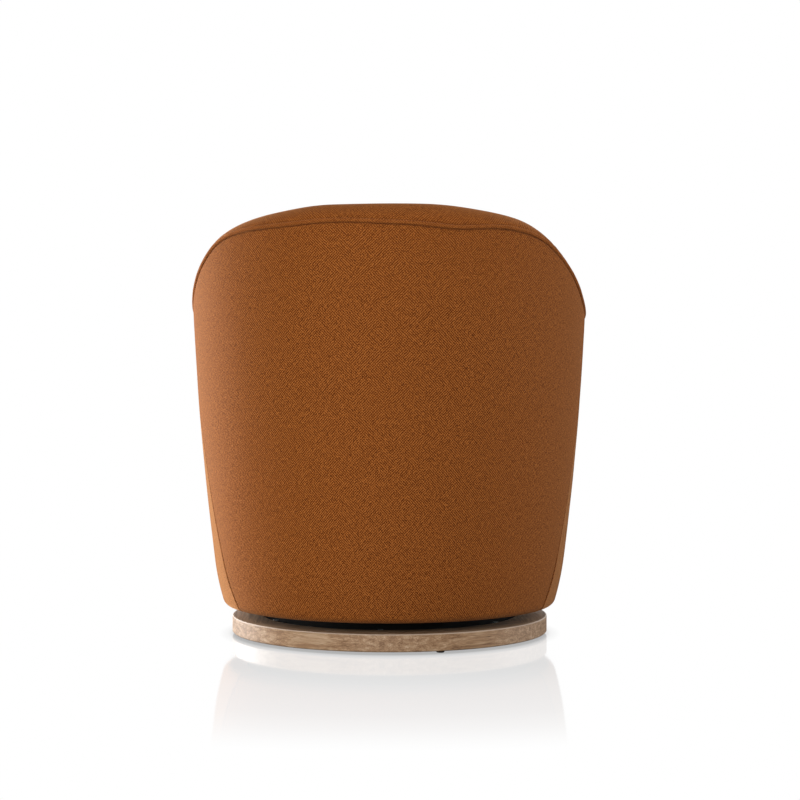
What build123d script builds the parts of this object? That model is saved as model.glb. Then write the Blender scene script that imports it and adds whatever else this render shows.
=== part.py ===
from build123d import *
import os
from math import acos, asin, atan2, cos, degrees, radians, sin, sqrt, tan

os.makedirs("parts", exist_ok=True)

# A swivel barrel chair. Millimetres. Z is up, the floor is Z = 0 and Z is also the swivel axis.
# The chair faces -Y, its back is towards +Y and the sitter's left hand is towards +X.

# Plinth
plinth_radius = 290
plinth_height = 30
plinth_width = 55
plinth_segments = 6
plinth_joint_turn = 6
plinth_arris = 1.5
ledge_width = 15
board_recess = 3
base_board_thickness = 18
base_screw_count = 6
base_screw_turn = 30
ledge_bite = 4

# Glides
glide_count = 4
glide_turn = 22.5
glide_height = 4.5
glide_radius = 7
glide_circle_radius = 272
glide_stem_radius = 1.6
glide_stem_length = 14

# Body outline
hem_gap = 20
body_radius = 363.5
body_centre_y = 9
arm_path_radius = 620
arm_turn = 20
hem_roll = 16
foot_lean = 16
waist_lean = 7.5
rim_lean = 1
flare_radius = 500
hem_flange = 28

# Line of the welt, seen from the side
rim_back_z = 719
back_fall = 1.5
shoulder_y = 315
shoulder_radius = 200
swoop_fall = 31.5
swoop_run = 135
arm_blend_radius = 260
arm_fall = 5

# Padded rim
back_rise = 36
shoulder_rise = 24.5
back_reach = 50
wall_thickness = 88
wall_foot = 131
lumbar_bulge = 7
arm_bulge = 2
nose_half = 44
back_crown_turn = 14
shoulder_crown_turn = 44
arm_crown_turn = 60
seam_turn = 56.25
back_stations = 16
arm_stations = 6

# Welt
welt_radius = 3.75
welt_corner_radius = 13
welt_rim_sections = 36
welt_corner_sections = 6

# Side seam, seen from the side
side_seam_hem_y = 110
side_seam_lean = 23.3

# Layers
cover_thickness = 3
liner_thickness = 3
frame_thickness = 25
seat_gap = 0.3
fit_gap = 0.1
edge_gap = 0.5
foam_gap = 0.9
pad_gap = 0.8

# Frame
bottom_board_thickness = 18
rail_thickness = 18
seat_rail_top_z = 288
top_rail_height = 45
top_rail_drop = 9
back_rail_turn = 33.75
arm_rail_turn = 84.375
liner_drop = 12
post_width = 45
front_board_thickness = 15
front_half_turn = 53
front_rail_half_turn = 70
lower_post_turns = (0, 45, 90, 104)
upper_post_turns = (0, 27, 55, 80, 104)

# Seat
webbing_width = 50
webbing_thickness = 1.2
webbing_count = 5
webbing_pitch = 64
webbing_landing = 24
webbing_clear = 18.5
deck_pad_thickness = 12
cushion_height = 130
cushion_crown = 22
cushion_crown_steps = ((0.6, 15), (0.9, 36), (1, 60))
cushion_clear = 4
cushion_draw = 6
cushion_neck_radius = 110
cushion_straight = 66
cushion_corner_radius = 75
cushion_corner_turn = 68
cushion_wrap = 16

# Swivel
swivel_plate_edge = 15
swivel_plate_thickness = 3
swivel_plate_corner = 14
swivel_screw_pitch = 170
race_radius = 75
race_width = 30
race_gap = 5
ball_radius = 5.5
ball_count = 9
ball_play = 0.06
cage_thickness = 1.6
cage_width = 20
pivot_radius = 6
pivot_play = 0.05
pivot_head_radius = 11
pivot_head_height = 6
pivot_nut_radius = 10
pivot_nut_height = 8
thread_end = 2
washer_radius = 12
washer_thickness = 1.5
bush_wall = 3
screw_radius = 2.4
screw_head_radius = 4.8
screw_head_height = 3
screw_length = 16
hole_end = 1
tool_room = 2
dust_cover_thickness = 1
dust_cover_hole_radius = 165

# Heights that follow
plinth_top_z = glide_height + plinth_height
hem_z = plinth_top_z + hem_gap
base_board_top_z = plinth_top_z - board_recess
ledge_z = base_board_top_z - base_board_thickness
bottom_board_z = hem_z + cover_thickness + seat_gap
bottom_board_top_z = bottom_board_z + bottom_board_thickness
swivel_plate_size = swivel_screw_pitch + 2 * swivel_plate_edge
seat_rail_z = seat_rail_top_z - rail_thickness
seat_hole_radius = body_radius - wall_foot - webbing_clear - webbing_landing
deck_z = seat_rail_top_z + seat_gap
webbing_top_z = seat_rail_top_z + 2 * webbing_thickness
deck_pad_z = webbing_top_z + seat_gap
cushion_z = deck_pad_z + deck_pad_thickness + seat_gap

# Outer face of the body: a rolled hem, a flare and a long upright bow, in (radius, height)
roll_end_z = hem_z + hem_roll - hem_roll * sin(radians(foot_lean))
waist_z = roll_end_z + flare_radius * (sin(radians(foot_lean)) - sin(radians(waist_lean)))
bow_radius = (rim_back_z - waist_z) / (sin(radians(waist_lean)) - sin(radians(rim_lean)))
waist_radius = body_radius - bow_radius * (cos(radians(rim_lean)) - cos(radians(waist_lean)))
roll_end_radius = waist_radius - flare_radius * (cos(radians(waist_lean)) - cos(radians(foot_lean)))
hem_radius = roll_end_radius - hem_roll * cos(radians(foot_lean))
bow_centre = (
    body_radius - bow_radius * cos(radians(rim_lean)),
    rim_back_z + bow_radius * sin(radians(rim_lean)),
)
flare_centre = (
    waist_radius - flare_radius * cos(radians(waist_lean)),
    waist_z + flare_radius * sin(radians(waist_lean)),
)
roll_centre = (hem_radius, hem_z + hem_roll)
arm_shift = arm_path_radius - body_radius
arm_end_turn = 90 + arm_turn
back_pitch = 90 / back_stations
arm_pitch = arm_turn / arm_stations
welt_room = welt_radius + edge_gap
welt_turn = arm_end_turn - degrees(welt_room / arm_path_radius)
cover_turn = arm_end_turn - 2 * degrees(welt_room / arm_path_radius)
liner_inset = cover_thickness + seat_gap
post_sag = post_width**2 / (8 * hem_radius)
welt_outset = welt_radius - cover_thickness
frame_inset = liner_inset + liner_thickness + seat_gap

# Key points of the welt line, seen from the side, as (Y, Z)
shoulder_start = (
    shoulder_y,
    rim_back_z - (body_centre_y + body_radius - shoulder_y) * tan(radians(back_fall)),
)
shoulder_centre = (
    shoulder_start[0] + shoulder_radius * sin(radians(back_fall)),
    shoulder_start[1] - shoulder_radius * cos(radians(back_fall)),
)
swoop_start = (
    shoulder_centre[0] - shoulder_radius * sin(radians(swoop_fall)),
    shoulder_centre[1] + shoulder_radius * cos(radians(swoop_fall)),
)
swoop_end = (
    swoop_start[0] - swoop_run * cos(radians(swoop_fall)),
    swoop_start[1] - swoop_run * sin(radians(swoop_fall)),
)
blend_centre = (
    swoop_end[0] - arm_blend_radius * sin(radians(swoop_fall)),
    swoop_end[1] + arm_blend_radius * cos(radians(swoop_fall)),
)
arm_start = (
    blend_centre[0] + arm_blend_radius * sin(radians(arm_fall)),
    blend_centre[1] - arm_blend_radius * cos(radians(arm_fall)),
)


bottom_up = (Align.CENTER, Align.CENTER, Align.MIN)
top_down = (Align.CENTER, Align.CENTER, Align.MAX)


def polar(centre, radius, angle):
    """Point on a circle, at an angle in degrees."""
    return (centre[0] + radius * cos(radians(angle)), centre[1] + radius * sin(radians(angle)))


def closed(*edges):
    """Face inside a closed loop of edges."""
    return make_face(Wire(edges))


def arc(centre, radius, first, last):
    """Arc between two angles in degrees."""
    points = [polar(centre, radius, angle) for angle in (first, (first + last) / 2, last)]
    return ThreePointArc(*points)


def face_radius(height):
    """Radius of the body's outer face at a height above the rolled hem."""
    if height >= waist_z:
        return bow_centre[0] + sqrt(bow_radius**2 - (height - bow_centre[1]) ** 2)
    return flare_centre[0] + sqrt(flare_radius**2 - (height - flare_centre[1]) ** 2)


def rim_height(y):
    """Height of the welt line at a distance behind the swivel axis."""
    if y >= shoulder_start[0]:
        return shoulder_start[1] + (y - shoulder_start[0]) * tan(radians(back_fall))
    if y >= swoop_start[0]:
        return shoulder_centre[1] + sqrt(shoulder_radius**2 - (y - shoulder_centre[0]) ** 2)
    if y >= swoop_end[0]:
        return swoop_start[1] - (swoop_start[0] - y) * tan(radians(swoop_fall))
    if y >= arm_start[0]:
        return blend_centre[1] - sqrt(arm_blend_radius**2 - (y - blend_centre[0]) ** 2)
    return arm_start[1] - (arm_start[0] - y) * tan(radians(arm_fall))


def station(turn):
    """Upright plane square to the wall. Turn is 0 at the back and grows towards the sitter's left.

    Its x is the body radius and its y the height, also along the flatter arms past a quarter turn.
    """
    out = Vector(sin(radians(turn)), cos(radians(turn)), 0)
    side = 1 if turn > 0 else -1
    shift = arm_shift if abs(turn) > 90 else 0
    origin = Vector(-side * shift, body_centre_y, 0) + out * shift
    return Plane(origin=origin, x_dir=out, z_dir=out.cross(Vector(0, 0, 1)))


def rim_at(turn):
    """Height of the welt line on the outer face at a station."""
    plane = station(turn)
    height = rim_back_z
    for _ in range(6):
        height = rim_height(plane.from_local_coords((face_radius(height), 0)).Y)
    return height


def rim_slope(turn):
    """Fall of the welt line along the outer face at a station, as a ratio."""
    step = 0.25
    path_radius = body_radius + (arm_shift if abs(turn) > 90 else 0)
    low = max(abs(turn) - step, 0)
    high = abs(turn) + step
    return (rim_at(low) - rim_at(high)) / (radians(high - low) * path_radius)


def blend(value, start, end):
    """Smooth step from 0 at start to 1 at end."""
    share = min(max((value - start) / (end - start), 0), 1)
    return share * share * (3 - 2 * share)


# Arm front: the wall ends in a half-round nose, turned about a leaning axis in the last station
nose_rim_z = rim_at(arm_end_turn)
nose_rim_radius = face_radius(nose_rim_z)
nose_foot = (roll_end_radius - nose_half, roll_end_z)
nose_head = (nose_rim_radius - nose_half, nose_rim_z)
nose_lean = degrees(atan2(nose_head[0] - nose_foot[0], nose_head[1] - nose_foot[1]))
nose_up = (sin(radians(nose_lean)), cos(radians(nose_lean)))


def on_nose_axis(height):
    """Point of the nose axis at a height, in the last station."""
    return (nose_foot[0] + (height - nose_foot[1]) * tan(radians(nose_lean)), height)


nose_welt_point = (face_radius(nose_rim_z + welt_room), nose_rim_z + welt_room)
nose_axis_point = on_nose_axis(nose_welt_point[1])
nose_radius = (nose_welt_point[0] - nose_axis_point[0]) * cos(radians(nose_lean))
nose_centre = (
    nose_welt_point[0] - nose_radius * cos(radians(nose_lean)),
    nose_welt_point[1] + nose_radius * sin(radians(nose_lean)),
)
nose_crest = (nose_centre[0] + nose_radius * nose_up[0], nose_centre[1] + nose_radius * nose_up[1])
nose_inner_foot = (2 * on_nose_axis(deck_z)[0] - face_radius(deck_z), deck_z)


class RimSection:
    """The padded rim in one station: welt, crest, inner face and foot."""

    def __init__(self, turn):
        self.turn = turn
        self.welt_z = rim_at(turn)
        to_shoulder = blend(abs(turn), back_crown_turn, shoulder_crown_turn)
        to_arm = blend(abs(turn), arm_crown_turn, arm_end_turn)
        face = face_radius(self.welt_z)
        back_crest = (face - back_reach, self.welt_z + back_rise + (shoulder_rise - back_rise) * to_shoulder)
        arm_crest = (face - (nose_rim_radius - nose_crest[0]), self.welt_z + nose_crest[1] - nose_rim_z)
        self.crest = mix(back_crest, arm_crest, to_arm)
        lean = radians(nose_lean * to_arm)
        up = (sin(lean), cos(lean))
        start_z = self.welt_z + welt_room * sqrt(1 + rim_slope(turn) ** 2)
        start = (face_radius(start_z), start_z)
        drop = (self.crest[0] - start[0], self.crest[1] - start[1])
        self.outer_radius = (drop[0] ** 2 + drop[1] ** 2) / (2 * (drop[0] * up[0] + drop[1] * up[1]))
        self.outer_centre = along(self.crest, up, -self.outer_radius)
        self.start_z = start_z
        self.crest_angle = 90 - degrees(lean)
        back_round = wall_thickness - back_reach
        self.inner_radius = back_round + (nose_radius - back_round) * to_arm
        self.inner_centre = along(self.crest, up, -self.inner_radius)
        foot = mix((body_radius - wall_foot, deck_z), nose_inner_foot, to_arm)
        reach = (foot[0] - self.inner_centre[0], foot[1] - self.inner_centre[1])
        distance = sqrt(reach[0] ** 2 + reach[1] ** 2)
        self.inner_angle = degrees(atan2(reach[1], reach[0]) - acos(self.inner_radius / distance)) + 360
        self.foot = foot
        self.bulge = lumbar_bulge + (arm_bulge - lumbar_bulge) * to_arm

    def inner_line(self, inset):
        """Top, middle and foot of the inner face."""
        normal = (cos(radians(self.inner_angle)), sin(radians(self.inner_angle)))
        top = along(self.inner_centre, normal, self.inner_radius - inset)
        foot = (self.foot[0] - inset / normal[0], self.foot[1])
        middle = along(mix(top, foot, 0.5), normal, self.bulge)
        return top, middle, foot

    def edges(self, inset):
        """Edges from the welt over the crest and down the inner face to the foot."""
        top, middle, foot = self.inner_line(inset)
        return [
            self.outer_arc(inset),
            arc(self.inner_centre, self.inner_radius - inset, self.crest_angle, self.inner_angle),
            ThreePointArc(top, middle, foot),
        ]

    def outer_arc(self, inset):
        """Arc from the welt up to the crest. At every depth it starts level with the cover's edge."""
        radius = self.outer_radius - inset
        start_angle = degrees(asin((self.start_z - self.outer_centre[1]) / radius))
        return arc(self.outer_centre, radius, start_angle, self.crest_angle)

    def start(self, inset):
        """Point where the rim leaves the welt."""
        edge = self.outer_arc(inset) @ 0
        return (edge.X, edge.Y)

    def cover(self):
        """Section of the cover."""
        outer = self.edges(0)
        inner = self.edges(cover_thickness)
        shut_foot = Line(self.inner_line(0)[2], self.inner_line(cover_thickness)[2])
        shut_start = Line(self.start(0), self.start(cover_thickness))
        return station(self.turn) * closed(*outer, *inner, shut_foot, shut_start)

    def foam(self):
        """Section of the foam, which hooks over the top rail."""
        inset = cover_thickness + pad_gap
        start = self.start(inset)
        foot = self.inner_line(inset)[2]
        frame = frame_inset + frame_thickness + post_sag + foam_gap
        rail_top_z = self.welt_z - top_rail_drop + foam_gap
        lip = (face_radius(rail_top_z) - inset - seat_gap, rail_top_z)
        heel = (face_radius(rail_top_z) - frame, rail_top_z)
        back_foot = (face_radius(deck_z) - frame, deck_z)
        outline = Polyline(foot, back_foot, heel, lip, start)
        return station(self.turn) * closed(*self.edges(inset), *outline.edges())


def mix(first, last, share):
    """Point between two points."""
    return (first[0] + (last[0] - first[0]) * share, first[1] + (last[1] - first[1]) * share)


def along(point, direction, distance):
    """Point at a distance from a point."""
    return (point[0] + direction[0] * distance, point[1] + direction[1] * distance)


def turns(first, last):
    """Station turns from first to last, about equally far apart along the wall."""
    left = [index * back_pitch for index in range(back_stations)]
    left += [90 + index * arm_pitch for index in range(arm_stations + 1)]
    inside = [turn for turn in left if first < turn < last]
    if first < 0:
        inside = [-turn for turn in reversed(left) if first < -turn < 0] + inside
    return [first, *inside, last]


def face_edges(inset, top):
    """Outer face at a depth, from the middle of the hem roll's underside up to a height."""
    bow_end = degrees(asin((top - bow_centre[1]) / (bow_radius - inset)))
    return [
        arc(roll_centre, hem_roll - inset, -90, -foot_lean),
        arc(flare_centre, flare_radius - inset, -foot_lean, -waist_lean),
        arc(bow_centre, bow_radius - inset, -waist_lean, bow_end),
    ]


def skin(outer_inset, inner_inset, top):
    """Section of a cover that rolls under the hem and ends in a flange."""
    outer = face_edges(outer_inset, top)
    inner = face_edges(inner_inset, top)
    flange = hem_radius - hem_flange
    head = Line(outer[-1] @ 1, inner[-1] @ 1)
    underside = Polyline(
        outer[0] @ 0,
        (flange, hem_z + outer_inset),
        (flange, hem_z + inner_inset),
        inner[0] @ 0,
    )
    return Plane.XZ * closed(*outer, head, *inner, *underside.edges())


def carry(section, turn=arm_turn):
    """Carries an upright section round the back and forward along both arms."""
    back = revolve(section, Axis.Z, 180)
    arm = revolve(Pos(arm_shift, 0, 0) * section, Axis((0, 0, 0), (0, 0, -1)), turn)
    left = Pos(-arm_shift, 0, 0) * arm
    return Pos(0, body_centre_y, 0) * (back + left + mirror(left, Plane.YZ))


def under_rim(drop=0, inset=0):
    """Block below the welt line, lowered upright by a drop and square to itself by an inset."""
    far = 2 * body_radius
    start = (far, rim_height(far) - inset / cos(radians(back_fall)))
    shoulder = shoulder_radius - inset
    blended = arm_blend_radius + inset
    end_z = arm_start[1] - inset / cos(radians(arm_fall)) - (arm_start[0] + far) * tan(radians(arm_fall))
    over_shoulder = arc(shoulder_centre, shoulder, 90 + back_fall, 90 + swoop_fall)
    into_arm = arc(blend_centre, blended, -90 + swoop_fall, -90 + arm_fall)
    outline = [
        Line(start, over_shoulder @ 0),
        over_shoulder,
        Line(over_shoulder @ 1, into_arm @ 0),
        into_arm,
        *Polyline(into_arm @ 1, (-far, end_z), (-far, -far), (far, -far), start).edges(),
    ]
    side = Plane.YZ * closed(*outline)
    return Pos(0, 0, -drop) * extrude(side, far, both=True)


def ahead_of_arms(clear=0):
    """Block in front of both last stations, where the arm fronts and the front of the seat are."""
    far = 2 * body_radius
    plane = station(arm_end_turn)
    ahead = (-plane.z_dir).normalized()
    if ahead.Y > 0:
        ahead = -ahead
    start = plane.origin + ahead * clear
    apex_y = start.Y - start.X * plane.x_dir.Y / plane.x_dir.X
    side_y = start.Y + (far - start.X) * plane.x_dir.Y / plane.x_dir.X
    outline = Polyline((0, apex_y), (far, side_y), (far, -far), (-far, -far), (-far, side_y), close=True)
    return extrude(make_face(outline), far)


def ahead_of_seam():
    """Block in front of the two side seams."""
    far = 2 * body_radius
    rise = far - hem_z
    top_y = side_seam_hem_y - rise * tan(radians(side_seam_lean))
    foot_y = side_seam_hem_y + hem_z * tan(radians(side_seam_lean))
    outline = Polyline((foot_y, 0), (top_y, far), (-far, far), (-far, 0), close=True)
    return extrude(Plane.YZ * make_face(outline), far, both=True)


def both_sides(left):
    """The left-hand piece and its mirror image on the right."""
    return {"left": left, "right": mirror(left, Plane.YZ)}


def save(name, shape):
    """Writes one sub-part."""
    export_step(shape, f"parts/{name}.step")


def save_both(name, left):
    """Writes a left-hand piece and its mirror image."""
    for side, piece in both_sides(left).items():
        save(f"{name}_{side}", piece)


# ---------------------------------------------------------------- plinth


def plinth_segment():
    """One segment of the wooden ring, with a ledge for the board and eased outer arrises."""
    inner = plinth_radius - plinth_width
    section = Polyline(
        (inner, ledge_z),
        (inner, plinth_top_z),
        (plinth_radius - plinth_arris, plinth_top_z),
        (plinth_radius, plinth_top_z - plinth_arris),
        (plinth_radius, glide_height + plinth_arris),
        (plinth_radius - plinth_arris, glide_height),
        (inner - ledge_width, glide_height),
        (inner - ledge_width, ledge_z),
        close=True,
    )
    return revolve(Plane.XZ * make_face(section), Axis.Z, 360 / plinth_segments)


def screw(length, radius, head_radius, head_height):
    """Pan-head screw that points down from the underside of its head at the origin."""
    shank = extrude(Circle(radius), -length)
    head = extrude(Circle(head_radius), head_height)
    return shank + head


def make_plinth():
    """Wooden ring, board, board screws and glides."""
    segment = plinth_segment()
    pitch = 360 / plinth_segments
    glide_hole = Cylinder(glide_stem_radius + fit_gap, glide_stem_length, align=bottom_up)
    glide_places = [glide_turn + 90 + 360 * index / glide_count for index in range(glide_count)]
    holes = [
        Rot(0, 0, place) * Pos(glide_circle_radius, 0, glide_height) * glide_hole for place in glide_places
    ]
    board_radius = plinth_radius - plinth_width - seat_gap
    screw_circle = board_radius - ledge_width / 2
    screw_hole = Cylinder(screw_radius + fit_gap, base_board_thickness + ledge_bite, align=top_down)
    screw_places = [base_screw_turn + 360 * index / base_screw_count for index in range(base_screw_count)]
    screw_holes = [
        Rot(0, 0, place) * Pos(screw_circle, 0, base_board_top_z) * screw_hole for place in screw_places
    ]
    names = ("back_right", "right", "front_right", "front_left", "left", "back_left")
    for index, name in enumerate(names):
        piece = Rot(0, 0, 90 + plinth_joint_turn + index * pitch) * segment
        for hole in holes + screw_holes:
            piece -= hole
        save(f"plinth_segment_{name}", piece)

    board = Pos(0, 0, ledge_z) * Cylinder(board_radius, base_board_thickness, align=bottom_up)
    board -= Cylinder(pivot_head_radius + tool_room, plinth_top_z, align=bottom_up)
    for hole in screw_holes + lower_screw_holes():
        board -= hole
    save("base_board", board)

    grip = base_board_thickness + ledge_bite - hole_end
    fixing = screw(grip, screw_radius, screw_head_radius, screw_head_height)
    screws = [Rot(0, 0, place) * Pos(screw_circle, 0, base_board_top_z) * fixing for place in screw_places]
    save("base_board_screws", Compound(children=screws))

    foot = Cylinder(glide_radius, glide_height, align=bottom_up)
    foot = chamfer(foot.faces().sort_by(Axis.Z)[0].edges(), glide_height / 5)
    stem = Cylinder(glide_stem_radius, glide_stem_length - hole_end, align=bottom_up)
    foot += Pos(0, 0, glide_height) * stem
    glides = [Rot(0, 0, place) * Pos(glide_circle_radius, 0, 0) * foot for place in glide_places]
    save("glides", Compound(children=glides))


# ---------------------------------------------------------------- swivel

swivel_middle_z = (base_board_top_z + bottom_board_z) / 2
lower_plate_top_z = base_board_top_z + swivel_plate_thickness


def screw_corners():
    """Centres of the four screws of a swivel plate."""
    half = swivel_screw_pitch / 2
    return [(x, y) for x in (-half, half) for y in (-half, half)]


def lower_screw_holes():
    """Holes through the lower plate and into the base board."""
    hole = Cylinder(screw_radius + fit_gap, screw_length + hole_end, align=top_down)
    return [Pos(x, y, lower_plate_top_z) * hole for x, y in screw_corners()]


def swivel_plate():
    """Lower plate with its ball race, whose groove is a right-angled V."""
    race_top_z = swivel_middle_z - race_gap / 2
    square = RectangleRounded(swivel_plate_size, swivel_plate_size, swivel_plate_corner)
    plate = Pos(0, 0, base_board_top_z) * extrude(square, swivel_plate_thickness)
    apex_drop = (ball_radius + ball_play) * sqrt(2)
    groove = apex_drop - race_gap / 2
    section = Polyline(
        (race_radius - race_width / 2, lower_plate_top_z),
        (race_radius - race_width / 2, race_top_z),
        (race_radius - groove, race_top_z),
        (race_radius, race_top_z - groove),
        (race_radius + groove, race_top_z),
        (race_radius + race_width / 2, race_top_z),
        (race_radius + race_width / 2, lower_plate_top_z),
        close=True,
    )
    plate += revolve(Plane.XZ * make_face(section), Axis.Z, 360)
    for hole in lower_screw_holes():
        plate -= hole
    return plate


def make_swivel():
    """Two plates with a ball race each, the caged balls and the pivot bolt that holds them together."""
    plate = swivel_plate()
    flip = Pos(0, 0, swivel_middle_z) * Rot(180, 0, 0) * Pos(0, 0, -swivel_middle_z)
    bolt_hole = Cylinder(pivot_radius + fit_gap, plinth_height, align=bottom_up)
    save("swivel_lower_plate", plate - Pos(0, 0, base_board_top_z) * bolt_hole)

    bush_radius = pivot_radius + pivot_play + bush_wall
    upper_z = bottom_board_z - swivel_plate_thickness
    bush_hole = Cylinder(bush_radius + fit_gap, plinth_height, align=bottom_up)
    save("swivel_upper_plate", flip * plate - Pos(0, 0, upper_z) * bush_hole)

    plate_screw = screw(screw_length, screw_radius, screw_head_radius, screw_head_height)
    lower_screws = [Pos(x, y, lower_plate_top_z) * plate_screw for x, y in screw_corners()]
    save("swivel_lower_screws", Compound(children=lower_screws))
    save("swivel_upper_screws", Compound(children=[flip * piece for piece in lower_screws]))

    bush = Cylinder(bush_radius, swivel_plate_thickness, align=bottom_up)
    bush += Pos(0, 0, -bush_wall) * Cylinder(bush_radius + bush_wall, bush_wall, align=bottom_up)
    bush -= Pos(0, 0, -bush_wall) * Cylinder(pivot_radius + pivot_play, plinth_height, align=bottom_up)
    save("pivot_bush", Pos(0, 0, upper_z) * bush)

    washer_z = bottom_board_z + fit_gap
    nut_z = washer_z + washer_thickness
    head = Pos(0, 0, base_board_top_z - pivot_head_height) * extrude(
        RegularPolygon(pivot_head_radius, 6), pivot_head_height
    )
    shank_length = nut_z + pivot_nut_height + thread_end - base_board_top_z
    shank = Pos(0, 0, base_board_top_z) * Cylinder(pivot_radius, shank_length, align=bottom_up)
    save("pivot_bolt", head + shank)
    shank_hole = Cylinder(pivot_radius, 2 * plinth_height, align=bottom_up)
    washer = Cylinder(washer_radius, washer_thickness, align=bottom_up) - shank_hole
    save("pivot_washer", Pos(0, 0, washer_z) * washer)
    nut = extrude(RegularPolygon(pivot_nut_radius, 6), pivot_nut_height) - shank_hole
    save("pivot_nut", Pos(0, 0, nut_z) * nut)

    cage = Cylinder(race_radius + cage_width / 2, cage_thickness)
    cage -= Cylinder(race_radius - cage_width / 2, cage_thickness)
    pocket = Cylinder(ball_radius + fit_gap, cage_thickness)
    balls = []
    for index in range(ball_count):
        place = Rot(0, 0, 360 * index / ball_count) * Pos(race_radius, 0, 0)
        cage -= place * pocket
        balls.append(Pos(0, 0, swivel_middle_z) * place * Sphere(ball_radius))
    save("ball_cage", Pos(0, 0, swivel_middle_z) * cage)
    save("bearing_balls", Compound(children=balls))


# ---------------------------------------------------------------- frame


def nose(inset):
    """Half-round arm front on the left, at a depth below its cover."""
    section = RimSection(arm_end_turn)
    dome = section.outer_arc(inset)
    face = face_edges(inset, section.start(inset)[1])
    face[-1] = ThreePointArc(face[-1] @ 0, face[-1] @ 0.5, section.start(inset))
    foot = (on_nose_axis(hem_z + inset)[0], hem_z + inset)
    outline = [*face, dome, Line(dome @ 1, foot), Line(foot, face[0] @ 0)]
    plane = station(arm_end_turn)
    axis_start = plane.from_local_coords(nose_foot)
    axis_end = plane.from_local_coords(nose_head)
    return revolve(plane * closed(*outline), Axis(axis_end, axis_start - axis_end), 180)


def face_run(inset, bottom, top):
    """Outer face at a depth, between two heights above the hem roll."""
    edges = face_edges(inset, top)
    if bottom >= waist_z:
        start = degrees(asin((bottom - bow_centre[1]) / (bow_radius - inset)))
        end = degrees(asin((top - bow_centre[1]) / (bow_radius - inset)))
        return [arc(bow_centre, bow_radius - inset, start, end)]
    start = degrees(asin((bottom - flare_centre[1]) / (flare_radius - inset)))
    return [arc(flare_centre, flare_radius - inset, start, -waist_lean), edges[-1]]


def band(outer_inset, inner_inset, bottom, top):
    """Section between two depths below the outer face, above the hem roll."""
    outer = face_run(outer_inset, bottom, top)
    inner = face_run(inner_inset, bottom, top)
    head = Line(outer[-1] @ 1, inner[-1] @ 1)
    return Plane.XZ * closed(*outer, head, *inner, Line(inner[0] @ 0, outer[0] @ 0))


def board_section(inner, bottom, top, inset):
    """Flat board section whose outer edge stands square below the outer face."""
    outer = face_radius(bottom) - inset
    outline = Polyline((inner, bottom), (inner, top), (outer, top), (outer, bottom), close=True)
    return Plane.XZ * make_face(outline)


def carry_back(section, half_turn):
    """Carries an upright section round the middle of the back."""
    return Pos(0, body_centre_y, 0) * Rot(0, 0, 90 - half_turn) * revolve(section, Axis.Z, 2 * half_turn)


def carry_left(section, first, last=arm_end_turn):
    """Carries an upright section forward along the left, between two station turns."""
    side = revolve(section, Axis.Z, 90 - first)
    arm = revolve(Pos(arm_shift, 0, 0) * section, Axis((0, 0, 0), (0, 0, -1)), last - 90)
    return Pos(0, body_centre_y, 0) * (side + Pos(-arm_shift, 0, 0) * arm)


def carry_front(section, half_turn=front_half_turn):
    """Carries an upright section across the front, as far as the two arm fronts."""
    front = Pos(0, body_centre_y, 0) * Rot(0, 0, -90 - half_turn) * revolve(section, Axis.Z, 2 * half_turn)
    return (front & ahead_of_arms(seat_gap)) - pair(nose(-seat_gap))


def pair(left):
    """A left-hand piece and its mirror image as one shape."""
    return left + mirror(left, Plane.YZ)


def pillar(radius, bottom, height):
    """Upright cylinder on the body's own centre line."""
    return Pos(0, body_centre_y, bottom) * Cylinder(radius, height, align=bottom_up)


def make_bottom_board():
    """Board under the frame, with its lower edge rounded to suit the rolled hem."""
    roll = arc(roll_centre, hem_roll - liner_inset, -90, -foot_lean)
    top = (face_radius(bottom_board_top_z) - liner_inset, bottom_board_top_z)
    outline = Polyline(roll @ 1, top, (0, bottom_board_top_z), (0, bottom_board_z), roll @ 0)
    rounded = Plane.XZ * closed(roll, *outline.edges())
    inner = Plane.XZ * Pos(seat_hole_radius / 2, bottom_board_z) * Rectangle(
        seat_hole_radius, 4 * bottom_board_thickness
    )
    board = carry(rounded - inner) + Pos(0, body_centre_y, 0) * revolve(rounded, Axis.Z, 360)
    board -= pair(nose(-seat_gap))
    nut_hole = Cylinder(washer_radius + tool_room, bottom_board_thickness, align=bottom_up)
    board -= Pos(0, 0, bottom_board_z) * nut_hole
    for x, y in screw_corners():
        hole = Cylinder(screw_radius + fit_gap, screw_length, align=bottom_up)
        board -= Pos(x, y, bottom_board_z) * hole
    save("bottom_board", board)


def post(turn, bottom, top):
    """Upright post just inside the liner, leaning with the body."""
    inset = frame_inset + post_sag
    outline = Polyline(
        (face_radius(bottom) - inset, bottom),
        (face_radius(top) - inset, top),
        (face_radius(top) - inset - frame_thickness, top),
        (face_radius(bottom) - inset - frame_thickness, bottom),
        close=True,
    )
    return extrude(station(turn) * make_face(outline), post_width / 2, both=True)


def make_posts():
    """Posts below and above the seat rails."""
    lower = [post(turn, bottom_board_top_z, seat_rail_z) for turn in lower_post_turns]
    lower += [mirror(piece, Plane.YZ) for piece in lower[1:]]
    save("lower_posts", Compound(children=lower))
    top_rail_room = loft([rail_room(turn) for turn in turns(-back_rail_turn, arm_end_turn)])
    upper = [post(turn, seat_rail_top_z, rim_at(turn)) - top_rail_room for turn in upper_post_turns]
    upper += [mirror(piece, Plane.YZ) for piece in upper[1:]]
    save("upper_posts", Compound(children=upper))


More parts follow.
